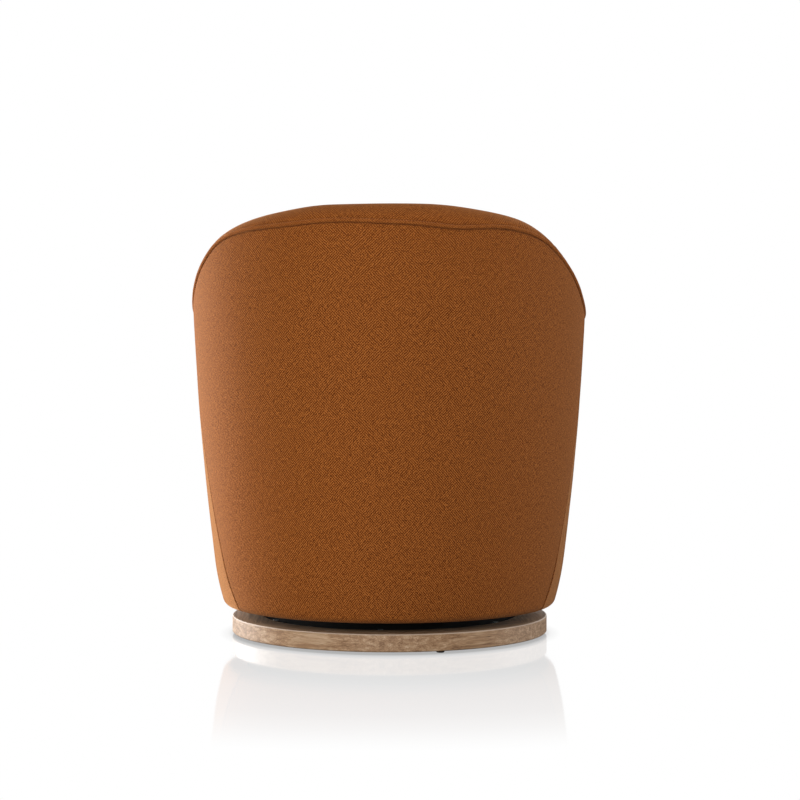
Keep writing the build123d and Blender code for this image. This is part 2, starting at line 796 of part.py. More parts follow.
def make_seat_rails():
    """Seat rails round a round hole for the webbing."""
    section = board_section(seat_hole_radius / 2, seat_rail_z, seat_rail_top_z, frame_inset)
    hole = pillar(seat_hole_radius, seat_rail_z, rail_thickness)
    save("seat_rail_back", carry_back(section, 45) - hole)
    save_both("seat_rail", carry_left(section, 45) - hole)
    front_inset = liner_inset + front_board_thickness + seat_gap
    front = board_section(seat_hole_radius / 2, seat_rail_z, seat_rail_top_z, front_inset)
    save("seat_rail_front", carry_front(front, front_rail_half_turn) - hole)


def make_front_board():
    """Curved board under the front border."""
    section = band(liner_inset, liner_inset + front_board_thickness, bottom_board_top_z, seat_rail_top_z)
    save("front_board", carry_front(section))


def rail_face(turn, bottom, top, clear=0):
    """Section as thick as the top rail between two heights, wider on both sides by a clearance."""
    outer = frame_inset - clear
    inner = frame_inset + frame_thickness + clear
    outline = Polyline(
        (face_radius(bottom) - outer, bottom),
        (face_radius(top) - outer, top),
        (face_radius(top) - inner, top),
        (face_radius(bottom) - inner, bottom),
        close=True,
    )
    return station(turn) * make_face(outline)


def rail_section(turn):
    """Top rail in one station."""
    top = rim_at(turn) - top_rail_drop
    return rail_face(turn, top - top_rail_height, top)


def rail_room(turn):
    """Space that the posts leave for the top rail in one station."""
    top = rim_at(turn) - top_rail_drop
    return rail_face(turn, top - top_rail_height - seat_gap, top + top_rail_height, frame_thickness / 2)


def make_top_rails():
    """Rails that follow the welt line, in five pieces end to end."""
    pieces = {
        "top_rail_back": (-back_rail_turn, back_rail_turn),
        "shoulder_rail": (back_rail_turn, arm_rail_turn),
        "arm_rail": (arm_rail_turn, arm_end_turn),
    }
    for name, (first, last) in pieces.items():
        rail = loft([rail_section(turn) for turn in turns(first, last)])
        if first < 0:
            save(name, rail)
        else:
            save_both(name, rail)


def make_liner():
    """Thin board bent round the outside of the frame."""
    section = band(liner_inset, liner_inset + liner_thickness, bottom_board_top_z, rim_back_z)
    save("outer_liner", carry(section) & under_rim(drop=liner_drop))


# ---------------------------------------------------------------- covers and padding


def make_outside_covers():
    """Outside back between the side seams, and the two outside arms in front of them."""
    around = carry(skin(0, cover_thickness, rim_back_z), cover_turn - 90) & under_rim(inset=welt_room)
    front = ahead_of_seam()
    save("outside_back_cover", around - front)
    left = (around & front).solids().sort_by(Axis.X)[-1]
    near_top = rim_at(cover_turn) - 2 * welt_corner_radius
    upper = left.edges().filter_by(lambda edge: edge.center().Z > near_top)
    front_corner = upper.filter_by(lambda edge: edge.length < 2 * cover_thickness).sort_by(Axis.Y)[0]
    save_both("outside_arm_cover", left.fillet(welt_corner_radius - welt_radius, [front_corner]))


def make_padded_rim():
    """Inside cover and its foam, which roll over the top rails down to the welt."""
    back_turns = turns(-seam_turn, seam_turn)
    arm_turns = turns(seam_turn, arm_end_turn)
    save("inside_back_cover", loft([RimSection(turn).cover() for turn in back_turns]))
    save("inside_back_foam", loft([RimSection(turn).foam() for turn in back_turns]))
    save_both("inside_arm_cover", loft([RimSection(turn).cover() for turn in arm_turns]))
    save_both("inside_arm_foam", loft([RimSection(turn).foam() for turn in arm_turns]))


def make_arm_fronts():
    """Half-round arm fronts, each a cover over foam."""
    save_both("arm_front_cover", nose(0) - nose(cover_thickness))
    save_both("arm_front_foam", nose(liner_inset))


def make_front_border():
    """Cover across the front under the cushion, turned in at the hem and over the seat rail."""
    top = deck_z + cover_thickness
    section = skin(0, cover_thickness, top)
    middle = face_radius(top) - hem_flange / 2 - cover_thickness
    lap = Plane.XZ * Pos(middle, deck_z + cover_thickness / 2) * Rectangle(hem_flange, cover_thickness)
    save("front_border_cover", carry_front(section + lap))


def make_dust_cover():
    """Thin cloth under the bottom board, round the swivel."""
    top = bottom_board_z - seat_gap
    outer = hem_radius - hem_flange - seat_gap
    cloth = pillar(outer, top - dust_cover_thickness, dust_cover_thickness)
    hole = Pos(0, 0, hem_z) * Cylinder(dust_cover_hole_radius, hem_roll, align=bottom_up)
    save("dust_cover", cloth - hole - pair(nose(-seat_gap)))


def welt_point(turn, height):
    """Centre of the welt on the outer face."""
    return station(turn).from_local_coords((face_radius(height) + welt_outset, height))


# Front corner of the welt, where it turns from the rim down the arm front
corner_fall = degrees(atan2(rim_slope(welt_turn), 1))
corner_reach = welt_corner_radius * (1 - sin(radians(corner_fall)))
corner_start_turn = welt_turn - degrees(corner_reach / arm_path_radius)


def welt_corner(share):
    """Point of the front corner, from 0 on the rim to 1 on the arm front."""
    turned = corner_fall + (90 - corner_fall) * share
    ahead = welt_corner_radius * (sin(radians(turned)) - sin(radians(corner_fall)))
    down = welt_corner_radius * (cos(radians(corner_fall)) - cos(radians(turned)))
    return welt_point(corner_start_turn + degrees(ahead / arm_path_radius), rim_at(corner_start_turn) - down)


def welt_run(path, count):
    """Round cord through a count of even lengths of a path."""
    sections = []
    for index in range(count + 1):
        centre = path @ (index / count)
        heading = path % (index / count)
        outward = Vector(centre.X, centre.Y - body_centre_y, 0)
        across = heading.cross(outward).cross(heading)
        sections.append(Plane(origin=centre, x_dir=across, z_dir=heading) * Circle(welt_radius))
    return loft(sections)


def make_welt():
    """Round welt along the rim, round a corner at each arm front and down to the hem."""
    step = 0.1
    before = welt_point(corner_start_turn - step, rim_at(corner_start_turn - step))
    after = welt_point(corner_start_turn + step, rim_at(corner_start_turn + step))
    forward = (after - before).normalized()
    backward = Vector(forward.X, -forward.Y, -forward.Z)
    rim_points = [welt_point(turn, rim_at(turn)) for turn in turns(-corner_start_turn, corner_start_turn)]
    rim = Spline(rim_points, tangents=[backward, forward])

    corner_points = [welt_corner(index / welt_corner_sections) for index in range(welt_corner_sections)]
    plane = station(welt_turn)
    front = Wire([plane * edge for edge in reversed(face_edges(-welt_outset, welt_corner(1).Z))])
    corner = Spline([*corner_points, front @ 1], tangents=[forward, (front % 1) * -1])
    down_front = sweep(Plane(origin=front @ 0, z_dir=front % 0) * Circle(welt_radius), path=front)
    arm = welt_run(corner, welt_corner_sections) + down_front
    save("rim_welt", welt_run(rim, welt_rim_sections) + pair(arm))


# ---------------------------------------------------------------- seat


def face_point(section, height):
    """Radius of the inside cover at a height, between its top and its foot."""
    top, middle, foot = section.inner_line(0)
    share = (height - foot[1]) / (top[1] - foot[1])
    return mix(foot, top, share)[0] - 4 * section.bulge * share * (1 - share)


cushion_middle_z = cushion_z + cushion_height / 2
cushion_side = face_point(RimSection(90), cushion_middle_z) - cushion_clear
cushion_back = face_point(RimSection(0), cushion_middle_z) - cushion_clear
cushion_centre_y = body_centre_y - (cushion_side - cushion_back)


def cushion_outline(height, draw):
    """Cushion seen from above at a height, drawn in all round by an amount."""
    side_radius = arm_shift + cushion_side
    side_centre = (-arm_shift, cushion_centre_y)
    side_end = polar(side_centre, side_radius, -arm_turn)
    neck_centre = polar(side_end, cushion_neck_radius, -arm_turn)
    front_side = neck_centre[0] - cushion_neck_radius
    corner_centre = (front_side - cushion_corner_radius, neck_centre[1] - cushion_straight)
    corner_end = polar(corner_centre, cushion_corner_radius, -cushion_corner_turn)
    front_radius = corner_end[0] / cos(radians(cushion_corner_turn))
    front_centre = (0, corner_end[1] + front_radius * sin(radians(cushion_corner_turn)))
    left = [
        arc((0, cushion_centre_y), cushion_side - draw, 90, 0),
        arc(side_centre, side_radius - draw, 0, -arm_turn),
        arc(neck_centre, cushion_neck_radius + draw, 180 - arm_turn, 180),
        Line((front_side - draw, neck_centre[1]), (front_side - draw, corner_centre[1])),
        arc(corner_centre, cushion_corner_radius - draw, 0, -cushion_corner_turn),
        arc(front_centre, front_radius - draw, -cushion_corner_turn, -90),
    ]
    right = [edge.mirror(Plane.YZ) for edge in reversed(left)]
    return Pos(0, 0, height) * closed(*left, *right)


def make_seat():
    """Webbing both ways, deck pad and the cushion on it."""
    limit = pillar(seat_hole_radius + webbing_landing, seat_rail_top_z, 2 * webbing_thickness)
    length = 2 * (seat_hole_radius + webbing_landing)
    across = []
    along_seat = []
    for index in range(webbing_count):
        offset = (index - (webbing_count - 1) / 2) * webbing_pitch
        strap = Box(length, webbing_width, webbing_thickness, align=bottom_up)
        across.append(Pos(0, body_centre_y + offset, seat_rail_top_z) * strap & limit)
        turned = Pos(offset, body_centre_y, seat_rail_top_z + webbing_thickness) * Rot(0, 0, 90) * strap
        along_seat.append(turned & limit)
    save("webbing_across", Compound(children=across))
    save("webbing_lengthwise", Compound(children=along_seat))

    pad = extrude(cushion_outline(deck_pad_z, cushion_draw + 2), deck_pad_thickness)
    pad_front = face_radius(deck_z) - hem_flange - 2 * cover_thickness
    save("deck_pad", pad & pillar(pad_front, deck_pad_z, deck_pad_thickness))

    top = cushion_z + cushion_height
    boxing = loft(
        [
            cushion_outline(cushion_z, 2 * cushion_draw),
            cushion_outline(cushion_middle_z, 0),
            cushion_outline(top, -cushion_draw / 2),
        ]
    )
    over = [cushion_outline(top + cushion_crown * share, draw) for share, draw in cushion_crown_steps]
    crown = loft([cushion_outline(top, -cushion_draw / 2), *over])
    core_draw = cushion_wrap + 2 * cushion_draw
    core_z = cushion_z + cover_thickness
    core_height = cushion_height - cushion_wrap
    hollow = extrude(cushion_outline(core_z, core_draw - seat_gap), core_height + seat_gap)
    save("cushion_cover", boxing + crown - hollow)
    save("cushion_core", extrude(cushion_outline(core_z, core_draw), core_height))


make_plinth()
make_swivel()
make_bottom_board()
make_posts()
make_seat_rails()
make_front_board()
make_top_rails()
make_liner()
make_outside_covers()
make_padded_rim()
make_arm_fronts()
make_front_border()
make_dust_cover()
make_welt()
make_seat()
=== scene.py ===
"""Looks of a swivel barrel chair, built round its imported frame."""

import logging
import math
from dataclasses import dataclass
from enum import Enum
from functools import cached_property
from itertools import accumulate
from typing import Any, Callable, Optional, Sequence, Union

import bmesh
import bpy
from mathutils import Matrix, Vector, noise


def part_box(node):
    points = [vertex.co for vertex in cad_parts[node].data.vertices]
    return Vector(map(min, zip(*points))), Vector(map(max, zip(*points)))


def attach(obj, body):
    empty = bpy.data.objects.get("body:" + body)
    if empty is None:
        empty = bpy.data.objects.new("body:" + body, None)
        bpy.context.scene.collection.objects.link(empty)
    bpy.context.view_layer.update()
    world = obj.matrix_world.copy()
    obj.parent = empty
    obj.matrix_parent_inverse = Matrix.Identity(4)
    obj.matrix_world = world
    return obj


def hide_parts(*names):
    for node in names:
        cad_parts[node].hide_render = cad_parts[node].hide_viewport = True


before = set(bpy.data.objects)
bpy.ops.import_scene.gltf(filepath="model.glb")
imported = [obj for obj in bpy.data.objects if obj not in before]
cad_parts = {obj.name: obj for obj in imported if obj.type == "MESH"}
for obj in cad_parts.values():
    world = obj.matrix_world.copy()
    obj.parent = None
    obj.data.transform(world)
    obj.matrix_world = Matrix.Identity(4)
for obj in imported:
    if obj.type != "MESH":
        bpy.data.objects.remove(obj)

log = logging.getLogger("barrel_chair")

MM = 0.001
Flat = tuple[float, float]
Triple = tuple[float, float, float]
Socket = bpy.types.NodeSocket
Material = bpy.types.Material
Inputs = dict[Union[str, int], Any]


class Side(Enum):
    """Sides of the chair, as the sitter has them."""

    LEFT = 1
    RIGHT = -1

    @property
    def word(self) -> str:
        """Name in lower case."""
        return self.name.lower()


# ---------------------------------------------------------------- small helpers


def smooth_step(value: float, start: float, end: float) -> float:
    """Eases from 0 to 1.

    Args:
        value: Where on the way.
        start: Value at which the result leaves 0.
        end: Value at which the result reaches 1.

    Returns:
        A number from 0 to 1.
    """
    share = min(max((value - start) / (end - start), 0.0), 1.0)
    return share * share * (3.0 - 2.0 * share)


def mix(first: float, last: float, share: float) -> float:
    """Number between two numbers."""
    return first + (last - first) * share


def bump(value: float, middle: float, width: float) -> float:
    """Smooth bump that is 1 at its middle and dies away within about twice its width."""
    return math.exp(-(((value - middle) / width) ** 2))


def mix_point(first: Flat, last: Flat, share: float) -> Flat:
    """Point between two flat points."""
    return (mix(first[0], last[0], share), mix(first[1], last[1], share))


def polar(centre: Flat, radius: float, degrees: float) -> Flat:
    """Point on a circle."""
    angle = math.radians(degrees)
    return (centre[0] + radius * math.cos(angle), centre[1] + radius * math.sin(angle))


def steps(first: float, last: float, pitch: float) -> list[float]:
    """Evenly spaced values from first to last.

    Args:
        first: First value.
        last: Last value.
        pitch: Largest distance between two values.

    Returns:
        The values, both ends included.
    """
    count = max(1, math.ceil(abs(last - first) / pitch))
    return [mix(first, last, index / count) for index in range(count + 1)]


def ends_dense(first: float, last: float, pitch: float, edge: Sequence[float]) -> list[float]:
    """Values that crowd together at both ends, for a seam that turns in.

    Args:
        first: First value.
        last: Last value, which is larger.
        pitch: Largest distance between two values in the middle.
        edge: Distances from an end at which there is a value as well.

    Returns:
        The values in order.
    """
    near = [first + distance for distance in edge]
    far = [last - distance for distance in reversed(edge)]
    middle = steps(near[-1], far[0], pitch)
    return [first, *near[:-1], *middle, *far[1:], last]


def srgb(code: str) -> tuple[float, float, float, float]:
    """Linear colour of an sRGB hex value.

    Args:
        code: Colour such as "#a06030".

    Returns:
        Red, green, blue and alpha.
    """
    parts = [int(code[place : place + 2], 16) / 255.0 for place in (1, 3, 5)]
    linear = [part / 12.92 if part <= 0.04045 else ((part + 0.055) / 1.055) ** 2.4 for part in parts]
    return (linear[0], linear[1], linear[2], 1.0)


def unevenness(point: Vector, size: float) -> float:
    """Gentle random hollows and swells.

    Args:
        point: Place in metres.
        size: Width of a hollow in metres.

    Returns:
        A number from about -1 to 1.
    """
    return noise.noise(point / size)


# ---------------------------------------------------------------- materials


def add_node(
    tree: bpy.types.NodeTree,
    kind: str,
    settings: Optional[dict[str, Any]] = None,
    inputs: Optional[Inputs] = None,
) -> bpy.types.Node:
    """Adds a shader node.

    Args:
        tree: Node tree that gets the node.
        kind: Blender's name of the node's type, without its first word.
        settings: Properties of the node.
        inputs: Value or linked output socket for each input.

    Returns:
        The node.
    """
    node = tree.nodes.new(f"ShaderNode{kind}")
    for name, value in (settings or {}).items():
        setattr(node, name, value)
    feed(tree, node, inputs or {})
    return node


def feed(tree: bpy.types.NodeTree, node: bpy.types.Node, inputs: Inputs) -> None:
    """Sets or links a node's inputs."""
    for key, value in inputs.items():
        if isinstance(value, bpy.types.NodeSocket):
            tree.links.new(value, node.inputs[key])
        else:
            node.inputs[key].default_value = value


class Shader:
    """A material in the making: each method adds a node and gives the socket that comes out of it."""

    def __init__(self, name: str) -> None:
        """Starts with the surface and the output, joined.

        Args:
            name: Name of the material.
        """
        self.material = bpy.data.materials.new(name)
        self.material.use_nodes = True
        self.tree = self.material.node_tree
        self.tree.nodes.clear()
        self.surface = add_node(self.tree, "BsdfPrincipled")
        self.output = add_node(self.tree, "OutputMaterial", inputs={"Surface": self.surface.outputs["BSDF"]})

    def add(self, kind: str, output: Union[str, int], inputs: Inputs, **settings: Any) -> Socket:
        """One output of a new node."""
        return add_node(self.tree, kind, settings, inputs).outputs[output]

    def place(self) -> Socket:
        """Object coordinates."""
        return self.add("TexCoord", "Object", {})

    def mapped(self, place: Socket, turn: float = 0.0, scale: Triple = (1, 1, 1), shift: float = 0) -> Socket:
        """Coordinates turned about Z in degrees, scaled, and shifted along X."""
        rotation, location = (0.0, 0.0, math.radians(turn)), (shift, 0.0, 0.0)
        inputs = {"Vector": place, "Rotation": rotation, "Scale": scale, "Location": location}
        return self.add("Mapping", "Vector", inputs)

    def noise(
        self, place: Socket, scale: float, detail: float, roughness: float = 0.5, distortion: float = 0.0
    ) -> Socket:
        """Cloudy grey."""
        inputs = {"Vector": place, "Scale": scale, "Detail": detail}
        return self.add("TexNoise", "Fac", {**inputs, "Roughness": roughness, "Distortion": distortion})

    def number(self, operation: str, *values: Union[Socket, float]) -> Socket:
        """Result of an operation on numbers."""
        return self.add("Math", 0, dict(enumerate(values)), operation=operation)

    def length(self, vector: Socket) -> Socket:
        """Length of a vector."""
        return self.add("VectorMath", "Value", {0: vector}, operation="LENGTH")

    def spread(self, value: Socket, start: Flat = (0.0, 1.0), end: Flat = (0.0, 1.0)) -> Socket:
        """Number carried from one range to another, and held inside it."""
        inputs = {"Value": value, "From Min": start[0], "From Max": start[1]}
        return self.add("MapRange", "Result", {**inputs, "To Min": end[0], "To Max": end[1]})

    def mix(self, factor: Union[Socket, float], first: Any, second: Any, **settings: str) -> Socket:
        """Something between two colours, or between two numbers where the settings say so."""
        inputs = {"Factor": factor, "A": first, "B": second}
        return self.add("Mix", "Result", inputs, **{"data_type": "RGBA", **settings})

    def shade(self, factor: Socket, first: Socket, second: Socket) -> Socket:
        """Something between two shaders."""
        return self.add("MixShader", "Shader", {0: factor, 1: first, 2: second})

    def ramp(self, factor: Socket, *stops: tuple[float, Union[str, float]]) -> Socket:
        """Colour of a number, from stops that are hex colours or grey levels."""
        ramp = add_node(self.tree, "ValToRGB", inputs={"Fac": factor})
        elements = ramp.color_ramp.elements
        while len(elements) < len(stops):
            elements.new(0.5)
        for element, (place, tone) in zip(elements, stops):
            element.position = place
            element.color = srgb(tone) if isinstance(tone, str) else (tone, tone, tone, 1.0)
        return ramp.outputs["Color"]

    def relief(self, height: Socket, strength: float, depth_mm: float) -> Socket:
        """Surface normal over small hollows and rises."""
        return self.add("Bump", "Normal", {"Height": height, "Strength": strength, "Distance": depth_mm * MM})

    def finish(self, **inputs: Any) -> Material:
        """The material, once the surface's inputs are set, whose names have _ for each space."""
        feed(self.tree, self.surface, {name.replace("_", " "): value for name, value in inputs.items()})
        return self.material


@dataclass(frozen=True)
class TwillUpholstery:
    """Heavy yarn-dyed twill of polyester and wool: two close tones cross on the diagonal, with soft fuzz."""

    name: str = "twill_upholstery"
    dark: str = "#5e2c0a"
    middle: str = "#8d4b19"
    light: str = "#bd7134"
    # Dark brown of the painted shade in the seams and under the welt.
    seam: str = "#1e0f06"
    sheen: str = "#ecb07a"
    # The real diagonals are under 2 mm apart, which is too fine to show, so they are drawn wider.
    diagonal_mm: float = 3.3
    slub_mm: float = 1.5
    patch_mm: float = 32.0
    fuzz: float = 0.35

    def build(self) -> Material:
        """Makes the material, which reads the piece's own UV map, in metres along the cloth."""
        shader = Shader(self.name)
        cloth = shader.add("UVMap", "UV", {}, uv_map="weave")
        # A wave texture repeats every pi / 10 of its scaled coordinate.
        pitch = math.pi / 10.0 / (self.diagonal_mm * MM)
        wave = {"Scale": pitch, "Distortion": 2.4, "Detail": 1.0, "Detail Scale": 2.0}
        lines = [
            shader.add("TexWave", "Fac", {"Vector": shader.mapped(cloth, turn), **wave}, bands_direction="X")
            for turn in (45.0, -45.0)
        ]
        patches = shader.noise(cloth, 1.0 / (self.patch_mm * MM), 2.0)
        lean = shader.spread(patches, (0.42, 0.58), (0.28, 0.72))
        weave = shader.mix(lean, *lines, data_type="FLOAT")
        slubs = [
            shader.noise(shader.mapped(cloth, scale=stretch), 1.0 / (self.slub_mm * MM), 2.0)
            for stretch in ((1.0, 0.22, 1.0), (0.26, 1.0, 1.0))
        ]
        yarns = shader.number("MULTIPLY_ADD", shader.number("ADD", *slubs), 0.9, -0.75)
        tone = shader.number("MULTIPLY_ADD", weave, 0.7, yarns)
        colour = shader.ramp(tone, (0.28, self.dark), (0.5, self.middle), (0.72, self.light))
        # Painted shade: the colour darkens towards the seam colour where the cloth lies in a seam or under the
        # welt, as if in shadow.
        fold = shader.add("Attribute", "Fac", {}, attribute_name="fold")
        return shader.finish(
            Base_Color=shader.mix(shader.number("MULTIPLY", fold, 0.85), colour, srgb(self.seam)),
            Normal=shader.relief(tone, 0.5, 0.6),
            Roughness=0.92,
            Specular_IOR_Level=0.12,
            Sheen_Weight=self.fuzz,
            Sheen_Roughness=0.45,
            Sheen_Tint=srgb(self.sheen),
        )


@dataclass(frozen=True)
class WeatheredOak:
    """Oiled oak with a grey-brown wash: long straight grain, dark open pores and paler worn arrises."""

    name: str
    turn: float
    seed: float
    pale: str = "#d6b897"
    middle: str = "#ad8661"
    dark: str = "#755233"
    pore: str = "#4c3a2c"
    worn: str = "#e9dccb"
    # The wear starts and is full at these distances from the axis and at these heights, in metres.
    worn_reach: Flat = (0.2870, 0.2892)
    worn_height: Flat = (0.0325, 0.0338)

    def build(self) -> Material:
        """Makes the material, whose grain runs along the board that the segment was cut from."""
        shader = Shader(self.name)
        place = shader.place()
        board = shader.mapped(place, self.turn, shift=self.seed)
        figure = shader.noise(shader.mapped(board, scale=(1.0, 26.0, 26.0)), 7.0, 4.0, 0.6, 0.25)
        grain = shader.noise(shader.mapped(board, scale=(1.0, 40.0, 40.0)), 22.0, 5.0, 0.7)
        both = shader.mix(0.45, figure, grain, data_type="FLOAT")
        wood = shader.ramp(both, (0.36, self.dark), (0.5, self.middle), (0.64, self.pale))
        pores = shader.ramp(grain, (0.30, self.pore), (0.42, "#ffffff"))
        stained = shader.mix(0.55, wood, pores, blend_type="MULTIPLY")
        reach = shader.spread(shader.length(shader.mapped(place, scale=(1.0, 1.0, 0.0))), self.worn_reach)
        height = shader.spread(shader.add("SeparateXYZ", "Z", {"Vector": place}), self.worn_height)
        rub = shader.number("MULTIPLY", reach, height)
        return shader.finish(
            Base_Color=shader.mix(shader.number("MULTIPLY", rub, 0.6), stained, srgb(self.worn)),
            Normal=shader.relief(grain, 0.35, 0.4),
            Roughness=0.58,
            Coat_Weight=0.5,
            Coat_Roughness=0.4,
        )


@dataclass(frozen=True)
class SpeckledFinish:
    """Plain finish with fine uneven tone: paint, moulding, plate, board or felt, told apart by numbers."""

    name: str
    dark: str
    light: str
    roughness: float
    speckle_mm: float
    metallic: float = 0.0
    relief_mm: float = 0.05
    stretch: Triple = (1.0, 1.0, 1.0)
    uneven_gloss: float = 0.08

    def build(self) -> Material:
        """Makes the material, which reads Object coordinates."""
        shader = Shader(self.name)
        drawn = shader.mapped(shader.place(), scale=self.stretch)
        speckle = shader.noise(drawn, 1.0 / (self.speckle_mm * MM), 4.0, 0.6)
        gloss = (self.roughness - self.uneven_gloss, self.roughness + self.uneven_gloss)
        return shader.finish(
            Base_Color=shader.ramp(speckle, (0.35, self.dark), (0.65, self.light)),
            Roughness=shader.spread(speckle, end=gloss),
            Normal=shader.relief(speckle, 0.5, self.relief_mm),
            Metallic=self.metallic,
        )


# ---------------------------------------------------------------- shape of the body


@dataclass(frozen=True)
class WallShape:
    """Wall of the barrel: rolled hem, flare and long bow outside, the welt's line and the rim above it.

    Sizes are in millimetres and degrees. A turn is 0 at the middle of the back and grows along the wall
    towards the sitter's left, past 90 along the flatter arm.
    """

    radius: float = 363.5
    centre_y: float = 9.0
    arm_radius: float = 620.0
    arm_turn: float = 20.0
    hem_z: float = 54.5
    hem_roll: float = 16.0
    hem_flange: float = 28.0
    foot_lean: float = 16.0
    waist_lean: float = 7.5
    rim_lean: float = 1.0
    flare_radius: float = 500.0
    rim_back_z: float = 719.0
    back_fall: float = 1.5
    shoulder_y: float = 315.0
    shoulder_radius: float = 200.0
    swoop_fall: float = 31.5
    swoop_run: float = 135.0
    arm_blend_radius: float = 260.0
    arm_fall: float = 5.0
    back_rise: float = 36.0
    shoulder_rise: float = 24.5
    back_reach: float = 50.0
    wall_thickness: float = 88.0
    wall_foot: float = 131.0
    lumbar_bulge: float = 7.0
    arm_bulge: float = 2.0
    nose_half: float = 44.0
    back_crown_turn: float = 14.0
    shoulder_crown_turn: float = 44.0
    arm_crown_turn: float = 60.0
    pad_seam_turn: float = 56.25
    welt_radius: float = 3.6
    welt_outset: float = -1.6
    welt_corner: float = 13.0
    welt_room: float = 4.25
    welt_lift: float = 4.6
    welt_dip: float = 5.6
    full_shoulder: float = 4.0
    # Station and width of each small unevenness of the rim.
    lift_place: Flat = (11.0, 12.0)
    dip_place: Flat = (-22.0, 9.0)
    full_place: Flat = (-50.0, 24.0)
    left_seam_hem_y: float = 178.0
    right_seam_hem_y: float = 128.0
    seam_lean: float = 12.2
    deck_z: float = 288.3

    @cached_property
    def arm_shift(self) -> float:
        """Distance from the body's centre to the centre of an arm's curve."""
        return self.arm_radius - self.radius

    @cached_property
    def end_turn(self) -> float:
        """Last station, where the arm front begins."""
        return 90.0 + self.arm_turn

    @cached_property
    def welt_turn(self) -> float:
        """Station of the upright welt at the arm front."""
        return self.end_turn - math.degrees(self.welt_room / self.arm_radius)

    @cached_property
    def cover_turn(self) -> float:
        """Station where the outside arm cover ends."""
        return self.end_turn - 2.0 * math.degrees(self.welt_room / self.arm_radius)

    @cached_property
    def roll_end_z(self) -> float:
        """Height where the hem's roll meets the flare."""
        return self.hem_z + self.hem_roll * (1.0 - math.sin(math.radians(self.foot_lean)))

    @cached_property
    def waist_z(self) -> float:
        """Height where the flare meets the bow."""
        foot, waist = math.radians(self.foot_lean), math.radians(self.waist_lean)
        return self.roll_end_z + self.flare_radius * (math.sin(foot) - math.sin(waist))

    @cached_property
    def bow_radius(self) -> float:
        """Radius of the long upright bow."""
        waist, rim = math.radians(self.waist_lean), math.radians(self.rim_lean)
        return (self.rim_back_z - self.waist_z) / (math.sin(waist) - math.sin(rim))

    @cached_property
    def bow_centre(self) -> Flat:
        """Centre of the bow, in body radius and height."""
        return polar((self.radius, self.rim_back_z), -self.bow_radius, -self.rim_lean)

    @cached_property
    def flare_centre(self) -> Flat:
        """Centre of the flare, in body radius and height."""
        waist_radius = polar(self.bow_centre, self.bow_radius, self.waist_lean)[0]
        return polar((waist_radius, self.waist_z), -self.flare_radius, -self.waist_lean)

    @cached_property
    def roll_end_radius(self) -> float:
        """Body radius where the hem's roll meets the flare."""
        return self.flare_centre[0] + self.flare_radius * math.cos(math.radians(self.foot_lean))

    @cached_property
    def hem_radius(self) -> float:
        """Body radius of the middle of the hem's roll."""
        return self.roll_end_radius - self.hem_roll * math.cos(math.radians(self.foot_lean))

    @cached_property
    def roll_length(self) -> float:
        """Length of the hem's roll from the flange to the flare, in millimetres."""
        return math.radians(90.0 - self.foot_lean) * self.hem_roll

    def on_roll(self, angle: float, outset: float = 0.0) -> Flat:
        """Point of the hem's roll at an angle in degrees, -90 at its lowest point, moved outwards."""
        return polar((self.hem_radius, self.hem_z + self.hem_roll), self.hem_roll + outset, angle)

    def face_radius(self, height: float) -> float:
        """Body radius of the outer face at a height above the hem's roll."""
        if height >= self.waist_z:
            return self.bow_centre[0] + math.sqrt(self.bow_radius**2 - (height - self.bow_centre[1]) ** 2)
        return self.flare_centre[0] + math.sqrt(self.flare_radius**2 - (height - self.flare_centre[1]) ** 2)

    @cached_property
    def welt_side(self) -> dict[str, Flat]:
        """Key points of the welt's line, seen from the side, as Y and Z."""
        back_run = self.centre_y + self.radius - self.shoulder_y
        start = (self.shoulder_y, self.rim_back_z - back_run * math.tan(math.radians(self.back_fall)))
        shoulder = polar(start, self.shoulder_radius, self.back_fall - 90.0)
        swoop_start = polar(shoulder, self.shoulder_radius, self.swoop_fall + 90.0)
        swoop_end = polar(swoop_start, -self.swoop_run, self.swoop_fall)
        blend = polar(swoop_end, self.arm_blend_radius, self.swoop_fall + 90.0)
        arm_start = polar(blend, self.arm_blend_radius, self.arm_fall - 90.0)
        return {
            "start": start,
            "shoulder": shoulder,
            "swoop_start": swoop_start,
            "swoop_end": swoop_end,
            "blend": blend,
            "arm_start": arm_start,
        }

    def welt_height(self, y: float) -> float:
        """Height of the welt's line at a distance behind the swivel's axis."""
        key = self.welt_side
        if y >= key["start"][0]:
            return key["start"][1] + (y - key["start"][0]) * math.tan(math.radians(self.back_fall))
        if y >= key["swoop_start"][0]:
            return key["shoulder"][1] + math.sqrt(self.shoulder_radius**2 - (y - key["shoulder"][0]) ** 2)
        if y >= key["swoop_end"][0]:
            fall = math.tan(math.radians(self.swoop_fall))
            return key["swoop_start"][1] - (key["swoop_start"][0] - y) * fall
        if y >= key["arm_start"][0]:
            return key["blend"][1] - math.sqrt(self.arm_blend_radius**2 - (y - key["blend"][0]) ** 2)
        return key["arm_start"][1] - (key["arm_start"][0] - y) * math.tan(math.radians(self.arm_fall))

    def point(self, turn: float, flat: Flat) -> Vector:
        """Point of a station.

        Args:
            turn: Station.
            flat: Body radius and height, in millimetres.

        Returns:
            The point in metres.
        """
        angle = math.radians(turn)
        shift = self.arm_shift if abs(turn) > 90.0 else 0.0
        side = 1.0 if turn > 0.0 else -1.0
        reach = shift + flat[0]
        x, y = reach * math.sin(angle) - side * shift, self.centre_y + reach * math.cos(angle)
        return Vector((x, y, flat[1])) * MM

    def run(self, turn: float) -> float:
        """Distance along the wall's outer face from the middle of the back, in millimetres."""
        bend = math.radians(min(abs(turn), 90.0)) * self.radius
        arm = math.radians(max(abs(turn) - 90.0, 0.0)) * self.arm_radius
        return math.copysign(bend + arm, turn)

    def turn_at(self, run: float) -> float:
        """Station at a distance along the wall's outer face from the middle of the back."""
        quarter = math.radians(90.0) * self.radius
        if abs(run) <= quarter:
            return math.degrees(run / self.radius)
        return math.copysign(90.0 + math.degrees((abs(run) - quarter) / self.arm_radius), run)

